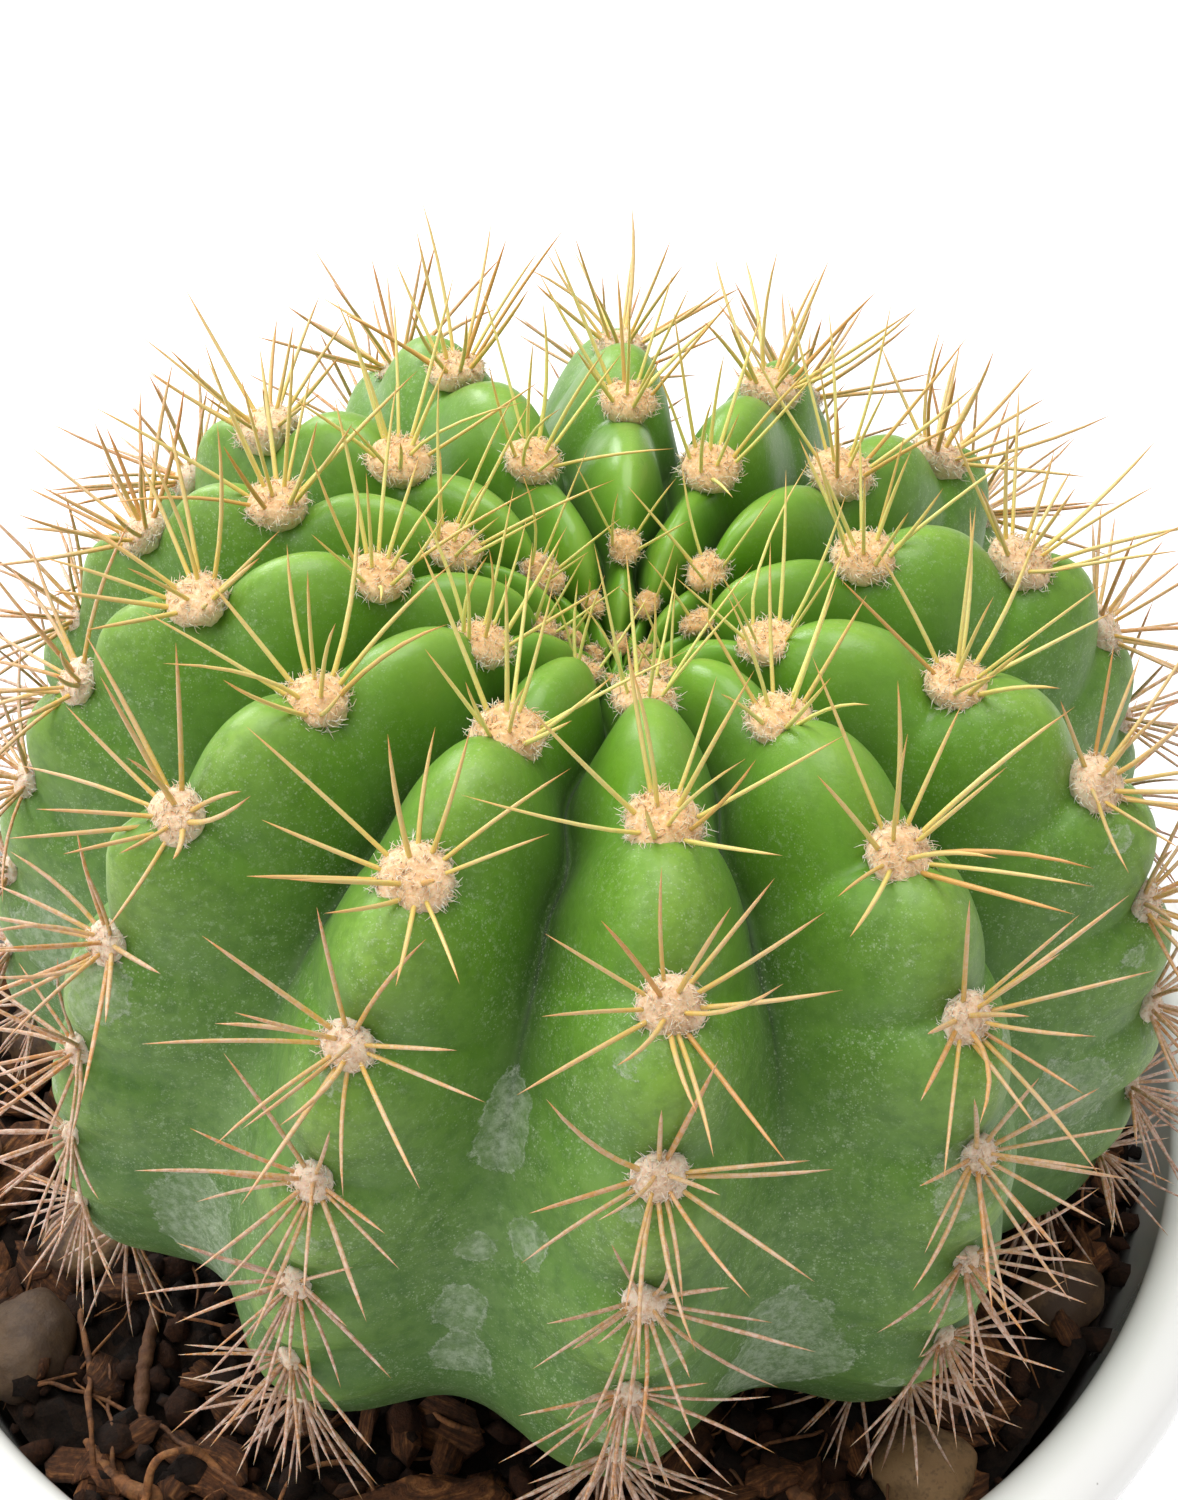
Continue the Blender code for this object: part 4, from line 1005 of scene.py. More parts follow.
def make_wool(settings):
    """The areoles: a cushion of felt in each notch, short hairs that curl out of it, and a pale fringe on its
    outer side."""
    rib, arc, seat, normal, crownward, side = areole_places()
    draw = np.random.default_rng(PAD_SEED)
    count = len(arc)
    grown = settings.pad_size * np.array(PAD_BY_RIB)[rib] * draw.uniform(*PAD_VARIETY, count)
    radius = graded(PAD_RADIUS, arc) * grown
    rise = graded(PAD_RISE, arc) * grown
    under = graded(PAD_UNDER, arc) * grown
    age = age_at(arc)
    wide = radius * graded(PAD_WIDTH, arc)
    tall = radius * graded(PAD_HEIGHT, arc)
    middle = pad_middles(rib, arc, seat, normal, crownward, tall)

    def on_cushion(index, share, angle):
        """Points of a pad and its outward direction there: an ellipsoid whose upper and lower halves differ
        in height. share is 0 at its top, 1 round its widest part and 2 at its bottom."""
        turn = share * np.pi / 2
        beside = wide[index] * np.sin(turn) * np.cos(angle)
        inward = tall[index] * np.sin(turn) * np.sin(angle)
        half = np.where(share < 1, rise[index], under[index])
        flat = side[index] * beside[..., None] + crownward[index] * inward[..., None]
        outward = flat / (radius[index] ** 2)[..., None] + normal[index] * (np.cos(turn) / half)[..., None]
        return middle[index] + flat + normal[index] * (half * np.cos(turn))[..., None], unit(outward)

    every = np.arange(count)
    share = np.linspace(2, 0, PAD_RINGS + 2)[1:-1]
    angle = 2 * np.pi * np.arange(PAD_SIDES) / PAD_SIDES
    index, shares, angles = np.meshgrid(every, share, angle, indexing="ij")
    pads, outward = on_cushion(index, shares, angles)
    pads = pads + outward * unevenness(pads, *FELT_TUFTS)[..., None]
    points, faces = capped(pads, middle - normal * under[:, None], middle + normal * rise[:, None])
    per_pad = PAD_RINGS * PAD_SIDES + 2
    heart = np.concatenate((np.repeat(np.clip(1 - share ** 2, 0, 1), PAD_SIDES), (0, 1)))
    values = {
        "age": np.repeat(age, per_pad), "tint": np.tile(PAD_HEART[0] + PAD_HEART[1] * heart, count),
        "along": np.zeros(count * per_pad),
    }
    felt = wool_material("wool_felt", tuple(settings.wool_colour), WOOL_OLD)
    surface("areole_felt", points, faces, felt, values)

    def hairs(finish, name, most, seed, low_side, reach, thick):
        """Hairs on every pad, more on bigger ones. Each is part of a circle in a plane through the pad's
        outward direction, so that it curls over; those of the low side grow out of the outer rim."""
        draw = np.random.default_rng(seed)
        number = most * (radius / radius.max()) ** HAIR_NUMBER_POWER + LEAST_HAIRS
        index = np.repeat(every, np.round(number).astype(int))
        total = len(index)
        if low_side:
            angle = draw.normal(-np.pi / 2, 1.0, total)
            share = draw.uniform(*LOW_SHARES, total)
        else:
            angle = draw.uniform(0, 2 * np.pi, total)
            share = np.arccos(draw.uniform(LOWEST_COSINE, 1, total)) / (np.pi / 2)
        root, direction = on_cushion(index, share, angle)
        aside = draw.normal(0, 1, (total, 3))
        direction = unit(direction + aside * HAIR_SPRAY)
        bend = unit(aside - direction * np.sum(aside * direction, -1, keepdims=True))
        length = draw.uniform(*HAIR_LENGTH, total) * np.sqrt(radius[index] / 2) * reach
        turn = draw.uniform(*HAIR_TURN, total)[:, None] * np.linspace(0, 1, HAIR_STEPS)
        curve = length / turn[:, -1]
        paths = (root - direction * HAIR_ROOT)[:, None] + curve[:, None, None] * (
            direction[:, None] * np.sin(turn)[..., None] + bend[:, None] * (1 - np.cos(turn))[..., None])
        radii = np.broadcast_to(thick * np.array(HAIR_TAPER), (total, HAIR_STEPS))
        points, faces = tubes(paths, radii, HAIR_SIDES)
        per_age, per_along = tube_values(age[index], np.linspace(0, 1, HAIR_STEPS), HAIR_SIDES)
        heart = HAIR_HEART[0] * np.clip(1 - share ** 2, 0, 1) + HAIR_HEART[1] * draw.uniform(0, 1, total) ** 2
        tint = np.repeat(heart * (LOW_HEART if low_side else 1.0), len(points) // total)
        values = {"age": per_age, "along": per_along, "tint": tint}
        surface(name, points, faces, finish, values)

    pale = wool_material("wool_fringe", FRINGE_YOUNG, FRINGE_OLD)
    for finish, kind in zip((felt, pale, pale), HAIRS):
        hairs(finish, *kind)


def make_spines(settings):
    """Spines fanned out of each areole: tapered needles along parabolas, some of them with a hooked end. Old
    areoles, near the soil, fan theirs out and down alone. Small steps turn each one up until its tip clears
    the mix and the rim, and outwards until it clears the skin."""
    rib, arc, seat, normal, crownward, side = areole_places()
    draw = np.random.default_rng(SPINE_SEED)
    counts = np.round(graded(SPINE_COUNT, arc) * settings.spine_density).astype(int)
    index = np.repeat(np.arange(len(arc)), counts)
    order = np.concatenate([np.arange(count) for count in counts])
    total = len(index)
    half_fan = np.radians(graded(SPINE_FAN, arc[index]))
    place = (order + 0.5 + draw.uniform(-FAN_JITTER, FAN_JITTER, total)) / counts[index]
    around = np.pi + (2 * place - 1) * half_fan
    central = (order % 4 == 1) & (arc[index] > CENTRAL_FROM)
    spread = np.radians(graded(SPINE_SPREAD, arc[index]) + draw.normal(0, SPREAD_JITTER, total))
    spread = np.where(central, spread * draw.uniform(*CENTRAL_SPREAD, total), spread)
    fan = crownward[index] * np.cos(around)[:, None] + side[index] * np.sin(around)[:, None]
    direction = normal[index] * np.cos(spread)[:, None] + fan * np.sin(spread)[:, None]
    length = graded(SPINE_LENGTH, arc[index]) * draw.uniform(*SPINE_LENGTH_VARIETY, total)
    length = length * settings.spine_length
    pad = graded(PAD_RADIUS, arc[index]) * np.where(central, CENTRAL_ROOT, RADIAL_ROOT)
    middle = pad_middles(rib, arc, seat, normal, crownward, graded(PAD_RADIUS, arc))
    root = middle[index] + fan * pad[:, None] + normal[index] * SPINE_RAISED
    half_rib = HALF_GAP[rib] * crest_at(arc)[0]
    reach = np.linspace(*SKIN_PROBES)[:, None, None]
    for _ in range(TURN_STEPS):
        tip = root + direction * length[:, None]
        floor = np.where(np.hypot(tip[:, 0], tip[:, 1]) > RIM_ZONE, RIM_CLEAR, SOIL_CLEAR)
        low = tip[:, 2] < floor
        direction = np.where(low[:, None], unit(direction + SOIL_TURN), direction)
        away = root + direction * length[:, None] * reach - seat[index]
        beside = np.clip(np.sum(away * side[index], -1) / half_rib[index], -1, 1)
        below = np.maximum(arc[index] - np.sum(away * crownward[index], -1), NEAREST_ARC)
        under, _ = skin(below, rib[index], beside)
        above = np.sum((away + seat[index] - under) * normal[index], -1).min(0)
        near = (above < SPINE_CLEAR)[:, None]
        direction = np.where(near, unit(direction + SKIN_TURN * normal[index]), direction)
    aside = unit(np.cross(direction, draw.normal(0, 1, (total, 3))))
    t = np.linspace(0, 1, SPINE_STEPS)
    bend = draw.normal(0, BEND, total) * (1 + CROOKED_MORE * (draw.uniform(0, 1, total) < CROOKED_SHARE))
    sunk = root - direction * SPINE_SUNK
    is_hooked = (draw.uniform(0, 1, total) < HOOKED_SHARE) & (arc[index] > HOOKED_FROM)
    hook = np.where(is_hooked, draw.normal(0, HOOK, total), 0)
    swerve = bend[:, None] * t ** 2 + hook[:, None] * np.clip(t - HOOK_PLACE, 0, 1)
    paths = sunk[:, None] + (length + SPINE_SUNK)[:, None, None] * (
        direction[:, None] * t[None, :, None] + aside[:, None] * swerve[..., None])
    radius = graded(SPINE_RADIUS, arc[index]) * draw.uniform(*SPINE_RADIUS_VARIETY, total)
    taper = np.clip(1 - t ** TIP_POWER, TIP_SHARE, 1) * (1 - graded(SPINE_SLIMMING, arc[index])[:, None] * t)
    points, faces = tubes(paths, radius[:, None] * taper, SPINE_SIDES)
    per_age, per_along = tube_values(age_at(arc[index]), t, SPINE_SIDES)
    tint = np.repeat(draw.uniform(0, 1, total) ** 2, len(points) // total)
    finish = spine_material(tuple(settings.spine_base), tuple(settings.spine_tip))
    values = {"age": per_age, "along": per_along, "tint": tint}
    surface("spines", points, faces, finish, values)


# Pot


def wall_radius(height):
    """Radius of the pot's inner wall at a height: a straight line from the floor to the mouth."""
    low = POT_BASE - POT_WALL
    return low + (POT_MOUTH - low) * (height - POT_FLOOR) / (POT_HEIGHT - POT_FLOOR)


def arc_points(radius, height, reach, start, end, count):
    """Points on a circle in the profile plane."""
    angle = np.linspace(start, end, count)
    return np.stack((radius + reach * np.cos(angle), height + reach * np.sin(angle)), -1)


def joined(parts):
    """One skin from grids of points given as (points, whether to turn it over). Points that lie together are
    merged, and triangles that this closes are left out."""
    points, faces, start = [], [], 0
    for grid, over in parts:
        group = grid_faces(*grid.shape[:2]) + start
        points.append(grid.reshape(-1, 3))
        faces.append(group[:, ::-1] if over else group)
        start += len(points[-1])
    points, faces = np.vstack(points), np.vstack(faces)
    places = np.round(points / SAME_POINT).astype(np.int64)
    _, first, merged = np.unique(places, axis=0, return_index=True, return_inverse=True)
    faces = merged.ravel()[faces]
    faces = faces[(faces[:, 0] != faces[:, 1]) & (faces[:, 1] != faces[:, 2]) & (faces[:, 2] != faces[:, 0])]
    return points[first], faces


def make_pot(settings):
    """The glazed shell: a turned profile from the heel up over the rounded lip and down to the inner floor.
    The floor and the underside are each three wedges of straight lines from a drain hole to the wedge's
    edge."""
    lip_height = POT_HEIGHT - POT_WALL / 2
    profile = np.vstack((
        arc_points(POT_BASE - POT_HEEL, POT_HEEL, POT_HEEL, -np.pi / 2, 0, HEEL_ROWS),
        np.linspace((POT_BASE, POT_HEEL), (POT_MOUTH + POT_WALL, lip_height), WALL_ROWS)[1:-1],
        arc_points(POT_MOUTH + POT_WALL / 2, lip_height, POT_WALL / 2, 0, np.pi, LIP_ROWS),
        np.linspace((POT_MOUTH, lip_height), (wall_radius(POT_FLOOR), POT_FLOOR), WALL_ROWS)[1:],
    ))
    angle = 2 * np.pi * np.arange(POT_SIDES) / POT_SIDES + DRAIN_TURN
    parts = [(turned(profile[:, :1], angle, profile[:, 1:]), True)]
    half = np.pi / DRAINS
    for turn in DRAIN_TURN + 2 * half * np.arange(DRAINS):
        hole_rings = []
        for radius, height in ((profile[0, 0], 0.0), (profile[-1, 0], POT_FLOOR)):
            spoke = np.linspace(0, radius, SPOKE_STEPS, endpoint=False)
            rim = turn - half + 2 * half * np.arange(WEDGE_COLUMNS + 1) / WEDGE_COLUMNS
            edge = np.vstack((
                turned(spoke, turn - half, height), turned(radius, rim, height),
                turned(spoke, turn + half, height)[:0:-1],
            ))
            middle = turned(DRAIN_CIRCLE, turn, height)
            hole = middle + DRAIN_RADIUS * unit(edge - middle)
            share = np.linspace(0, 1, WEDGE_ROWS)[:, None, None]
            parts.append((hole * (1 - share) + edge * share, not height))
            hole_rings.append(hole)
        parts.append((np.stack(hole_rings), False))
    points, faces = joined(parts)
    raw = np.clip(1 - points[:, 2] / BARE_FOOT, 0, 1)
    inside = np.hypot(points[:, 0], points[:, 1]) < wall_radius(points[:, 2]) + INSIDE_SPARE
    inner_browning = np.clip((SOIL_TOP + BROWNING_REACH - points[:, 2]) / BROWNING_REACH, 0, 1) ** BROWNING_POWER * inside
    surface("pot_shell", points, faces, glaze_material(tuple(settings.glaze_colour)),
            {"raw": raw, "inner_browning": inner_browning}, ("pot",))


# Potting mix


def soil_height(x, y):
    """Height of the mix's top: a wave round the axis times a wave outwards, fading to level at the neck."""
    reach = np.hypot(x, y)
    around = np.arctan2(y, x)
    share = reach / POT_MOUTH
    waves = np.sin(9 * around + 40 * share) * np.cos(5 * np.pi * share + 2 * np.sin(3 * around))
    fade = np.clip((reach - LEVEL_WITHIN) / LEVEL_FADE, 0, 1)
    return SOIL_TOP + SOIL_LUMP * waves * fade


def make_mix(settings):
    """The plug of potting mix in one closed grid: up the wall of the neck's hole, out over the crumbly top,
    down the pot's wall and in over the floor."""
    angle = 2 * np.pi * np.arange(SOIL_SIDES) / SOIL_SIDES
    radius, height, out, up = crest_at(np.linspace(CREST_ARC[-1] - HOLE_DEEP, HOLE_EDGE, HOLE_ROWS)[:, None])
    hole = placed(turned(radius + out * HOLE_SPARE, angle, height + up * HOLE_SPARE))
    rim = turned(wall_radius(SOIL_TOP) - GAP, angle, SOIL_TOP)
    share = np.linspace(0, 1, SOIL_RINGS)[:, None, None]
    top = hole[-1] * (1 - share) + rim * share
    crumbs = unevenness(top * (1, 1, 0), *SOIL_CRUMBS)
    inside = np.clip((1 - share[..., 0]) / RIM_FADE, 0, 1) * np.clip(share[..., 0] / HOLE_FADE, 0, 1)
    top[..., 2] = soil_height(top[..., 0], top[..., 1]) + (crumbs - CRUMBS_SUNK) * inside
    bottom = POT_FLOOR + GAP
    foot = turned(wall_radius(bottom) - GAP, angle, bottom)
    low = np.linspace(0, 1, SOIL_SIDE_ROWS)[1:, None, None]
    rings = np.concatenate((hole[:-1], top, top[-1] * (1 - low) + foot * low))
    _, height, _, up = crest_at(CREST_ARC[-1])
    start = placed(np.array(((0, 0, height + up * HOLE_SPARE),)))
    points, faces = capped(rings[None], start, np.array(((0, 0, bottom),)))
    surface("mix_plug", points, faces[:, ::-1],
            earth_material("damp_mix", tuple(settings.mix_colour), MIX_CRUMB, False), {},
            ("potting_mix",))


def free_places(draw, count, zone):
    """Random places on the mix, between two distances from the pot's axis."""
    radius = np.sqrt(draw.uniform(zone[0] ** 2, zone[1] ** 2, count))
    angle = draw.uniform(0, 2 * np.pi, count)
    return radius * np.cos(angle), radius * np.sin(angle)


def turns(yaw, pitch, roll):
    """Rotation matrices, as arrays, from turns about Z, Y and X."""
    cy, sy, cp, sp, cr, sr = (f(a) for a in (yaw, pitch, roll) for f in (np.cos, np.sin))
    rows = (
        (cy * cp, cy * sp * sr - sy * cr, cy * sp * cr + sy * sr),
        (sy * cp, sy * sp * sr + cy * cr, sy * sp * cr - cy * sr),
        (-sp, cp * sr, cp * cr),
    )
    return np.stack([np.stack(row, -1) for row in rows], -2)


def lumps(draw, count, rings, sides, power):
    """Unit lumps, many at once: stacked rings of a ball flattened by a power, with every corner pushed in or
    out."""
    tilt = np.linspace(-1, 1, rings + 2)[1:-1] * np.pi / 2
    angle = 2 * np.pi * np.arange(sides) / sides
    spread = np.cos(tilt)[:, None] ** power
    ball = turned(spread, angle, np.sin(tilt)[:, None])
    jitter = draw.uniform(*LUMP_JITTER, (count, rings, sides, 1))
    ends = draw.uniform(*LUMP_END_JITTER, (count, 2, 1)) * POLES
    return capped(ball[None] * jitter, ends[:, 0], ends[:, 1])


def scatter(shapes, size, turn, centre):
    """Sizes, turns and moves many unit shapes at once. Also gives their points before they are turned."""
    parts = shapes.reshape(len(size), -1, 3) * size[:, None]
    points = np.einsum("nij,npj->npi", turn, parts) + centre[:, None]
    return points.reshape(-1, 3), parts.reshape(-1, 3)


def strew_crumbs(settings, draw):
    """Loose crumbs: small uneven lumps, turned all ways."""
    count = settings.crumbs
    x, y = free_places(draw, count, CRUMB_ZONE)
    shapes, faces = lumps(draw, count, *CRUMB_SHAPE)
    size = draw.uniform(*CRUMB_SIZE, (count, 1)) ** CRUMB_SIZE_POWER
    size = size * draw.uniform(*CRUMB_VARIETY, (count, 3))
    centre = np.stack((x, y, soil_height(x, y) + size[:, 2] * LUMP_RAISED_SHARE), -1)
    points, _ = scatter(shapes, size, turns(*draw.uniform(0, 2 * np.pi, (3, count))), centre)
    tint = np.repeat(draw.uniform(0, 1, count) ** 2, len(points) // count)
    surface("mix_crumbs", points, faces, earth_material("crumb_mix", tuple(settings.mix_colour), LOOSE_CRUMB),
            {"tint": tint})


def strew_flakes(settings, draw):
    """Bark flakes: thin splinters that lie nearly flat."""
    count = FLAKES
    x, y = free_places(draw, count, FLAKE_ZONE)
    shapes, faces = lumps(draw, count, *FLAKE_SHAPE)
    long = draw.uniform(*FLAKE_LENGTH, count)
    wide = long * draw.uniform(*FLAKE_WIDTH_SHARE, count)
    size = np.stack((long, wide, draw.uniform(*FLAKE_THICKNESS, count)), -1)
    centre = np.stack((x, y, soil_height(x, y) + FLAKE_RAISED + LUMP_RAISED_SHARE * size[:, 2]), -1)
    yaw = draw.uniform(0, 2 * np.pi, count)
    turn = turns(yaw, draw.normal(0, FLAKE_TILT, count), draw.normal(0, FLAKE_TILT, count))
    points, flat = scatter(shapes, size, turn, centre)
    surface("bark_flakes", points, faces, bark_material(tuple(settings.bark_colour)), {
        "lengthwise": flat[:, 0], "layer": flat[:, 1] * 2 + flat[:, 2] * 3,
        "tint": np.repeat(draw.uniform(0, 1, count), len(points) // count),
    })


def strew_fibres(settings, draw):
    """Root fibres: thin tubes along a parabola with a sine wave on it, and the long thin roots, along smooth
    curves with noise."""
    count = FIBRES
    x, y = free_places(draw, count, FIBRE_ZONE)
    t = np.linspace(-0.5, 0.5, FIBRE_STEPS)
    heading = draw.uniform(0, 2 * np.pi, count)
    long = draw.uniform(*FIBRE_LENGTH, count)
    bend = draw.normal(0, FIBRE_BEND, count)[:, None]
    wave = draw.normal(0, FIBRE_WAVE, (count, 1)) * np.sin(6 * t + draw.uniform(0, 6, (count, 1)))
    forward = t * long[:, None]
    aside = long[:, None] * (bend * t ** 2 + wave)
    px = x[:, None] + forward * np.cos(heading)[:, None] - aside * np.sin(heading)[:, None]
    py = y[:, None] + forward * np.sin(heading)[:, None] + aside * np.cos(heading)[:, None]
    squeeze = np.minimum(1, FIBRE_REACH / np.hypot(px, py))
    px, py = px * squeeze, py * squeeze
    pz = soil_height(px, py) + FIBRE_RAISED + draw.uniform(0, FIBRE_LIFT, (count, 1)) * np.cos(np.pi * t) ** 2
    thick = draw.uniform(*FIBRE_THICKNESS, (count, 1)) * (1 - 0.7 * np.abs(2 * t) ** 3)
    points, faces = tubes(np.stack((px, py, pz), -1), thick, FIBRE_SIDES)
    tint, along = tube_values(draw.uniform(0, 1, count), t + 0.5, FIBRE_SIDES)
    finish = root_material(tuple(settings.root_colour))
    surface("root_fibres", points, faces, finish, {"tint": tint, "along": along})
    for number, (thickness, shade, lift, path) in enumerate(LONG_ROOTS, 1):
        line = smooth_curve(path, LONG_ROOT_SAMPLES)
        t = np.linspace(0, 1, len(line))
        height = soil_height(line[:, 0], line[:, 1]) + LONG_ROOT_RAISED + lift * np.sin(np.pi * t)
        line = np.column_stack((line, height))
        line = line + wobble(line, *LONG_ROOT_WOBBLE)
        thick = thickness * (1 + 0.25 * noise(line + 9.0, 0.9, 45)) * (1 - 0.5 * np.abs(2 * t - 1) ** 6)
        points, faces = tubes(line[None], thick[None], LONG_ROOT_SIDES)
        tint, along = tube_values(np.array((shade,)), t, LONG_ROOT_SIDES)
        surface(f"long_root_{number}", points, faces, finish, {"tint": tint, "along": along})


def make_crumbs(settings):
    """Loose crumbs, bark flakes and root fibres strewn on the mix, from one run of random draws."""
    draw = np.random.default_rng(STREW_SEED)
    strew_crumbs(settings, draw)
    strew_flakes(settings, draw)
    strew_fibres(settings, draw)


def ball_grid(rows, columns):
    """Unit directions on a grid of latitudes and longitudes, without the two poles."""
    tilt = np.linspace(-np.pi / 2, np.pi / 2, rows + 2)[1:-1]
    angle = 2 * np.pi * np.arange(columns) / columns
    return turned(np.cos(tilt)[:, None], angle, np.sin(tilt)[:, None])


def chip_form(shape, number, size):
    """Points of a chip from unit directions: halves pressed flat by a power, sides made squarer by another,
    then pushed about by noises drawn out along the grain, with cracks where one of them is near zero."""
    flat = np.sign(shape[..., 2]) * np.abs(shape[..., 2]) ** CHIP_FLATNESS
    radial = np.linalg.norm(shape[..., :2], axis=-1)
    wide = np.where(radial > 0, radial ** CHIP_SQUARENESS / np.maximum(radial, 1e-6), 0)
    form = np.stack((shape[..., 0] * wide, shape[..., 1] * wide, flat), -1) * size / 2
    key = form + number * 37.0
    form = form * (1 + unevenness(key, CHIP_SWELL)[..., None])
    for axis, (stretch, layer) in enumerate(CHIP_LAYERS):
        form[..., axis] += unevenness(key * stretch, layer)
    crack = np.clip(CRACK_WIDTH - np.abs(noise(key * (0.5, 1, 0.3), 1.5, 46)), 0, CRACK_WIDTH) / CRACK_WIDTH
    form[..., 2] -= CRACK_DEPTH * crack * np.sign(shape[..., 2])
    return form


def make_bark(settings):
    """Bark chips: flat uneven lumps with layered edges."""
    finish = bark_material(tuple(settings.bark_colour))
    for number, (x, y, turn_deg, *size) in enumerate(BARK_CHIPS, 1):
        shapes = [chip_form(shape, number, size) for shape in (ball_grid(*CHIP_GRID), POLES)]
        grained = np.vstack((shapes[0].reshape(-1, 3), shapes[1]))
        turn = turns(math.radians(turn_deg), 0.0, math.radians(8 * math.sin(7.0 * number)))
        centre = np.array((x, y, SOIL_TOP + SUNK_SHARE * size[2] + CHIP_RAISED))
        grid, ends = (shape @ turn.T + centre for shape in shapes)
        points, faces = capped(grid[None], ends[:1], ends[1:])
        surface(f"chip_{number}", points, faces, finish, {
            "lengthwise": grained[:, 0], "layer": grained[:, 1] * 1.5 + grained[:, 2] * 3,
            "tint": np.full(len(points), (number * 0.37) % 1 * 0.3),
        }, (f"bark_chip_{number}",))


def make_pebbles(settings):
    """Pebbles: egg shapes of three unlike radii, worn uneven by noise."""
    finish = pebble_material(tuple(settings.pebble_colour))
    for number, (x, y, turn_deg, length, width, thickness) in enumerate(PEBBLES, 1):
        turn = turns(math.radians(turn_deg), 0.0, 0.0)
        centre = np.array((x, y, SOIL_TOP + SUNK_SHARE * thickness))
        shapes = []
        for shape in (ball_grid(*PEBBLE_GRID), POLES):
            form = shape * (length / 2, width / 2, thickness / 2)
            form[..., 1] *= 1 - 0.1 * shape[..., 0]
            worn = unevenness(form + number * 53.0, *PEBBLE_WEAR)
            shapes.append(form * (1 + worn)[..., None] @ turn.T + centre)
        points, faces = capped(shapes[0][None], shapes[1][:1], shapes[1][1:])
        tint = np.full(len(points), PEBBLE_SHADES[number - 1])
        surface(f"stone_{number}", points, faces, finish, {"tint": tint}, (f"pebble_{number}",))


def make_roots(settings):
    """Dry roots: wrinkled tubes along parabolas that lie half sunk in the mix, each tapering to its ends."""
    finish = root_material(tuple(settings.root_colour))
    t = np.linspace(0, 1, ROOT_STEPS)
    for number, (shade, path) in enumerate(zip(ROOT_SHADES, ROOT_PATHS), 1):
        start, middle, end = np.array(path, float)
        flat = start * ((1 - t) ** 2)[:, None] + middle * (2 * t * (1 - t))[:, None] + end * (t ** 2)[:, None]
        line = np.column_stack((flat, SOIL_TOP + ROOT_RAISED + ROOT_ARCH * np.sin(np.pi * t)))
        line = line + wobble(line, *ROOT_WOBBLE) * (1, 1, 0.5)
        thick = ROOT_THICKNESS * (1 - 0.5 * np.abs(2 * t - 1) ** 3) * (1 + 0.2 * noise(line + 9.0, 2.2, 18))
        points, faces = tubes(line[None], thick[None], ROOT_SIDES)
        centre = np.vstack((np.repeat(line, ROOT_SIDES, axis=0), line[:1], line[-1:]))
        points = points + unit(points - centre + 1e-9) * unevenness(points, ROOT_WRINKLES)[:, None]
        tint, along = tube_values(np.array((shade,)), t, ROOT_SIDES)
        surface(f"dry_root_{number}", points, faces, finish, {"tint": tint, "along": along},
                (f"root_{number}",))


# Stage


def area_light(name, place, size, power):
    """A square soft light that looks at the plant."""
    lamp = bpy.data.lights.new(name, "AREA")
    lamp.shape = "SQUARE"
    lamp.size = size
    lamp.energy = power
    obj = bpy.data.objects.new(name, lamp)
    back = unit(np.array(place, float) - LIGHT_AIM)
    right = unit(np.cross((0, 0, 1.0), back))
    up = np.cross(back, right)
    matrix = np.eye(4)
    matrix[:3, 0], matrix[:3, 1], matrix[:3, 2], matrix[:3, 3] = right, up, back, place
    obj.matrix_world = Matrix(matrix)
    bpy.context.scene.collection.objects.link(obj)


def make_stage(settings):
    """The pale floor, the soft lights and the camera."""
    mesh = bpy.data.meshes.new("floor")
    corners = [(FLOOR_HALF * x, FLOOR_HALF * y, 0) for x, y in ((-1, -1), (1, -1), (1, 1), (-1, 1))]
    mesh.from_pydata(corners, [], [(0, 1, 2, 3)])
    floor = bpy.data.objects.new("floor", mesh)
    mesh.materials.append(floor_material(tuple(settings.floor_colour)))
    bpy.context.scene.collection.objects.link(floor)
    world = bpy.data.worlds.new("pale_room")
    world.use_nodes = True
    background = world.node_tree.nodes["Background"]
    background.inputs["Color"].default_value = (1.0, 1.0, 1.0, 1)
    background.inputs["Strength"].default_value = settings.room_light
    bpy.context.scene.world = world
    for name, place, size, share in LIGHTS:
        area_light(name, place, size, share * settings.main_light)
    lens = bpy.data.cameras.new("camera")
    lens.sensor_fit = "VERTICAL"
    lens.sensor_height = LENS_HEIGHT_MM
    lens.lens = LENS_LENGTH_MM
    lens.clip_start = NEAREST_SEEN
    camera = bpy.data.objects.new("camera", lens)
    back = (0, -math.cos(CAMERA_DOWN), math.sin(CAMERA_DOWN))
    camera.location = np.array(CAMERA_TARGET) + CAMERA_DISTANCE * np.array(back)
    camera.rotation_euler = (math.pi / 2 - CAMERA_DOWN, 0, 0)
    bpy.context.scene.collection.objects.link(camera)
    bpy.context.scene.camera = camera
    bpy.context.scene.view_settings.view_transform = "Standard"


# Settings, operators and panel


def colour_setting(name, description, default):
    """A colour that a user may change."""
    return bpy.props.FloatVectorProperty(
        name=name, description=description, default=default, size=3, min=0, max=1, subtype="COLOR")


def factor_setting(name, description, default, low=0.5, high=1.5):
    """A factor that a user may change."""
    return bpy.props.FloatProperty(name=name, description=description, default=default, min=low, max=high,
                                   subtype="FACTOR")


class CactusPlantSettings(bpy.types.PropertyGroup):
    young_green: colour_setting("Young green", "Skin in the crown", (0.125, 0.32, 0.010))
    # The old green is darkened as painted shade near the soil
    shaded_old_green: colour_setting("Old green", "Skin near the soil", (0.045, 0.105, 0.02))
    wool_colour: colour_setting("Wool", "Wool of young areoles", (0.84, 0.61, 0.37))
    pad_size: factor_setting("Wool size", "Size of the wool pads beside the usual", 1.0)
    spine_length: factor_setting("Spine length", "Length of the spines beside the usual", 1.0)
    spine_density: factor_setting("Spine number", "Number of spines beside the usual", 1.0)
    spine_base: colour_setting("Spine base", "Base of grown spines", (0.73, 0.47, 0.09))
    spine_tip: colour_setting("Spine tip", "Tip of grown spines", (0.52, 0.2, 0.04))


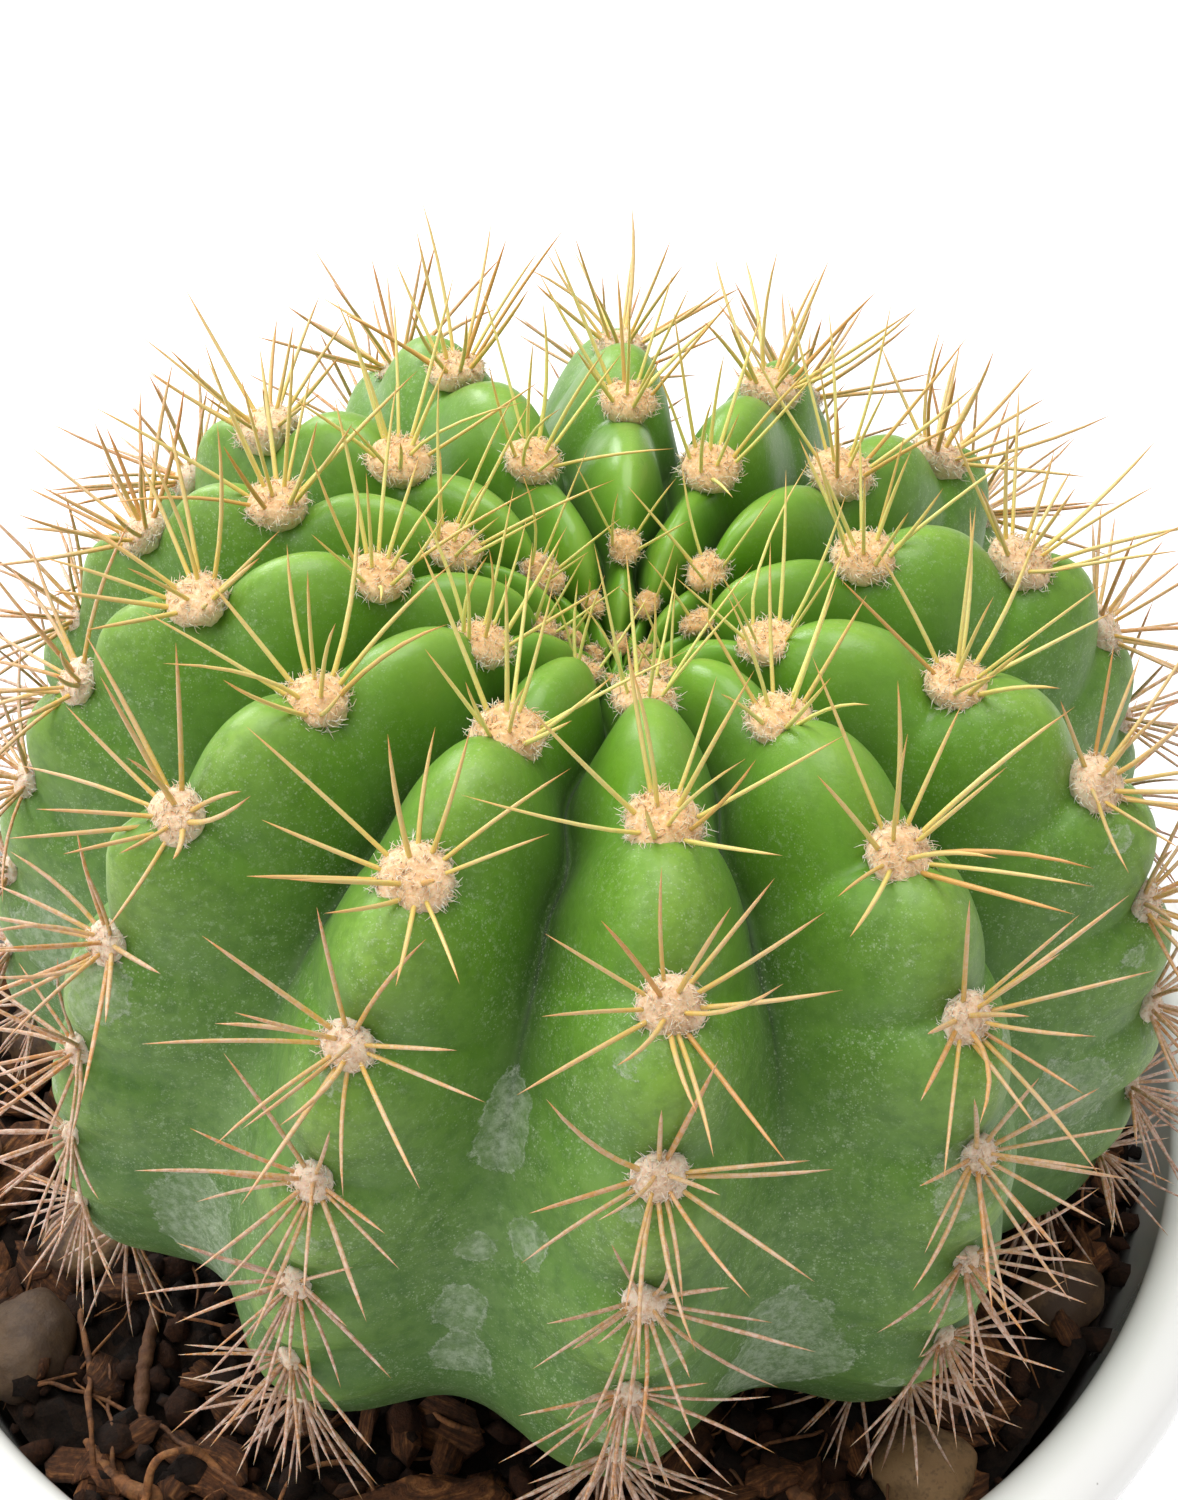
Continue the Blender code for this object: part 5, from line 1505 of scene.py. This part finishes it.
class CactusPotSettings(bpy.types.PropertyGroup):
    glaze_colour: colour_setting("Glaze", "Glaze of the pot", (0.965, 0.955, 0.93))
    mix_colour: colour_setting("Mix", "Damp potting mix", (0.009, 0.005, 0.003))
    bark_colour: colour_setting("Bark", "Bark chips", (0.15, 0.055, 0.02))
    pebble_colour: colour_setting("Pebble", "Pebbles", (0.27, 0.15, 0.062))
    root_colour: colour_setting("Root", "Dry roots", (0.32, 0.12, 0.035))
    crumbs: bpy.props.IntProperty(
        name="Crumbs", description="Number of loose crumbs on the mix", default=1500, min=0, max=4000)


class CactusStageSettings(bpy.types.PropertyGroup):
    floor_colour: colour_setting("Floor", "Pale floor", (0.93, 0.93, 0.93))
    room_light: bpy.props.FloatProperty(
        name="Room light", description="Strength of the light from all round", default=0.5, min=0, max=5)
    main_light: bpy.props.FloatProperty(
        name="Main light", description="Power of the main soft light", default=6.4, min=0, unit="POWER")


class CACTUS_OT_flesh(bpy.types.Operator):
    """Makes the ribbed body of the cactus"""
    bl_idname = "cactus.flesh"
    bl_label = "Flesh"

    def execute(self, context):
        make_flesh(context.scene.cactus_plant)
        return {"FINISHED"}


class CACTUS_OT_wool(bpy.types.Operator):
    """Makes the wool of every areole"""
    bl_idname = "cactus.wool"
    bl_label = "Wool"

    def execute(self, context):
        make_wool(context.scene.cactus_plant)
        return {"FINISHED"}


class CACTUS_OT_spines(bpy.types.Operator):
    """Makes the spines of every areole"""
    bl_idname = "cactus.spines"
    bl_label = "Spines"

    def execute(self, context):
        make_spines(context.scene.cactus_plant)
        return {"FINISHED"}


class CACTUS_OT_pot(bpy.types.Operator):
    """Makes the glazed pot"""
    bl_idname = "cactus.pot"
    bl_label = "Pot"

    def execute(self, context):
        make_pot(context.scene.cactus_pot)
        return {"FINISHED"}


class CACTUS_OT_mix(bpy.types.Operator):
    """Makes the plug of potting mix"""
    bl_idname = "cactus.mix"
    bl_label = "Potting mix"

    def execute(self, context):
        make_mix(context.scene.cactus_pot)
        return {"FINISHED"}


class CACTUS_OT_crumbs(bpy.types.Operator):
    """Strews crumbs, bark flakes and root fibres on the mix"""
    bl_idname = "cactus.crumbs"
    bl_label = "Crumbs, flakes and fibres"

    def execute(self, context):
        make_crumbs(context.scene.cactus_pot)
        return {"FINISHED"}


class CACTUS_OT_bark(bpy.types.Operator):
    """Makes the bark chips"""
    bl_idname = "cactus.bark"
    bl_label = "Bark chips"

    def execute(self, context):
        make_bark(context.scene.cactus_pot)
        return {"FINISHED"}


class CACTUS_OT_pebbles(bpy.types.Operator):
    """Makes the pebbles"""
    bl_idname = "cactus.pebbles"
    bl_label = "Pebbles"

    def execute(self, context):
        make_pebbles(context.scene.cactus_pot)
        return {"FINISHED"}


class CACTUS_OT_roots(bpy.types.Operator):
    """Makes the dry roots"""
    bl_idname = "cactus.roots"
    bl_label = "Dry roots"

    def execute(self, context):
        make_roots(context.scene.cactus_pot)
        return {"FINISHED"}


class CACTUS_OT_stage(bpy.types.Operator):
    """Sets up the floor, the lights and the camera"""
    bl_idname = "cactus.stage"
    bl_label = "Stage"

    def execute(self, context):
        make_stage(context.scene.cactus_stage)
        return {"FINISHED"}


OPERATORS = (
    CACTUS_OT_flesh, CACTUS_OT_wool, CACTUS_OT_spines, CACTUS_OT_pot, CACTUS_OT_mix, CACTUS_OT_crumbs,
    CACTUS_OT_bark, CACTUS_OT_pebbles, CACTUS_OT_roots, CACTUS_OT_stage,
)
SETTINGS = (
    ("cactus_plant", CactusPlantSettings), ("cactus_pot", CactusPotSettings),
    ("cactus_stage", CactusStageSettings),
)


class CACTUS_PT_sidebar(bpy.types.Panel):
    """The pieces of the potted ball cactus and what can be changed on them"""
    bl_idname = "CACTUS_PT_sidebar"
    bl_label = "Potted ball cactus"
    bl_space_type = "VIEW_3D"
    bl_region_type = "UI"
    bl_category = "Cactus"

    def draw(self, context):
        for name, group in SETTINGS:
            box = self.layout.box()
            for key in group.__annotations__:
                box.prop(getattr(context.scene, name), key)
        for operator in OPERATORS:
            self.layout.operator(operator.bl_idname)


def register():
    for name, group in SETTINGS:
        bpy.utils.register_class(group)
        setattr(bpy.types.Scene, name, bpy.props.PointerProperty(type=group))
    for made in (*OPERATORS, CACTUS_PT_sidebar):
        bpy.utils.register_class(made)


def unregister():
    for made in (CACTUS_PT_sidebar, *reversed(OPERATORS)):
        bpy.utils.unregister_class(made)
    for name, group in reversed(SETTINGS):
        delattr(bpy.types.Scene, name)
        bpy.utils.unregister_class(group)


def main():
    register()
    for operator in OPERATORS:
        family, name = operator.bl_idname.split(".")
        getattr(getattr(bpy.ops, family), name)()


if __name__ == "__main__":
    main()
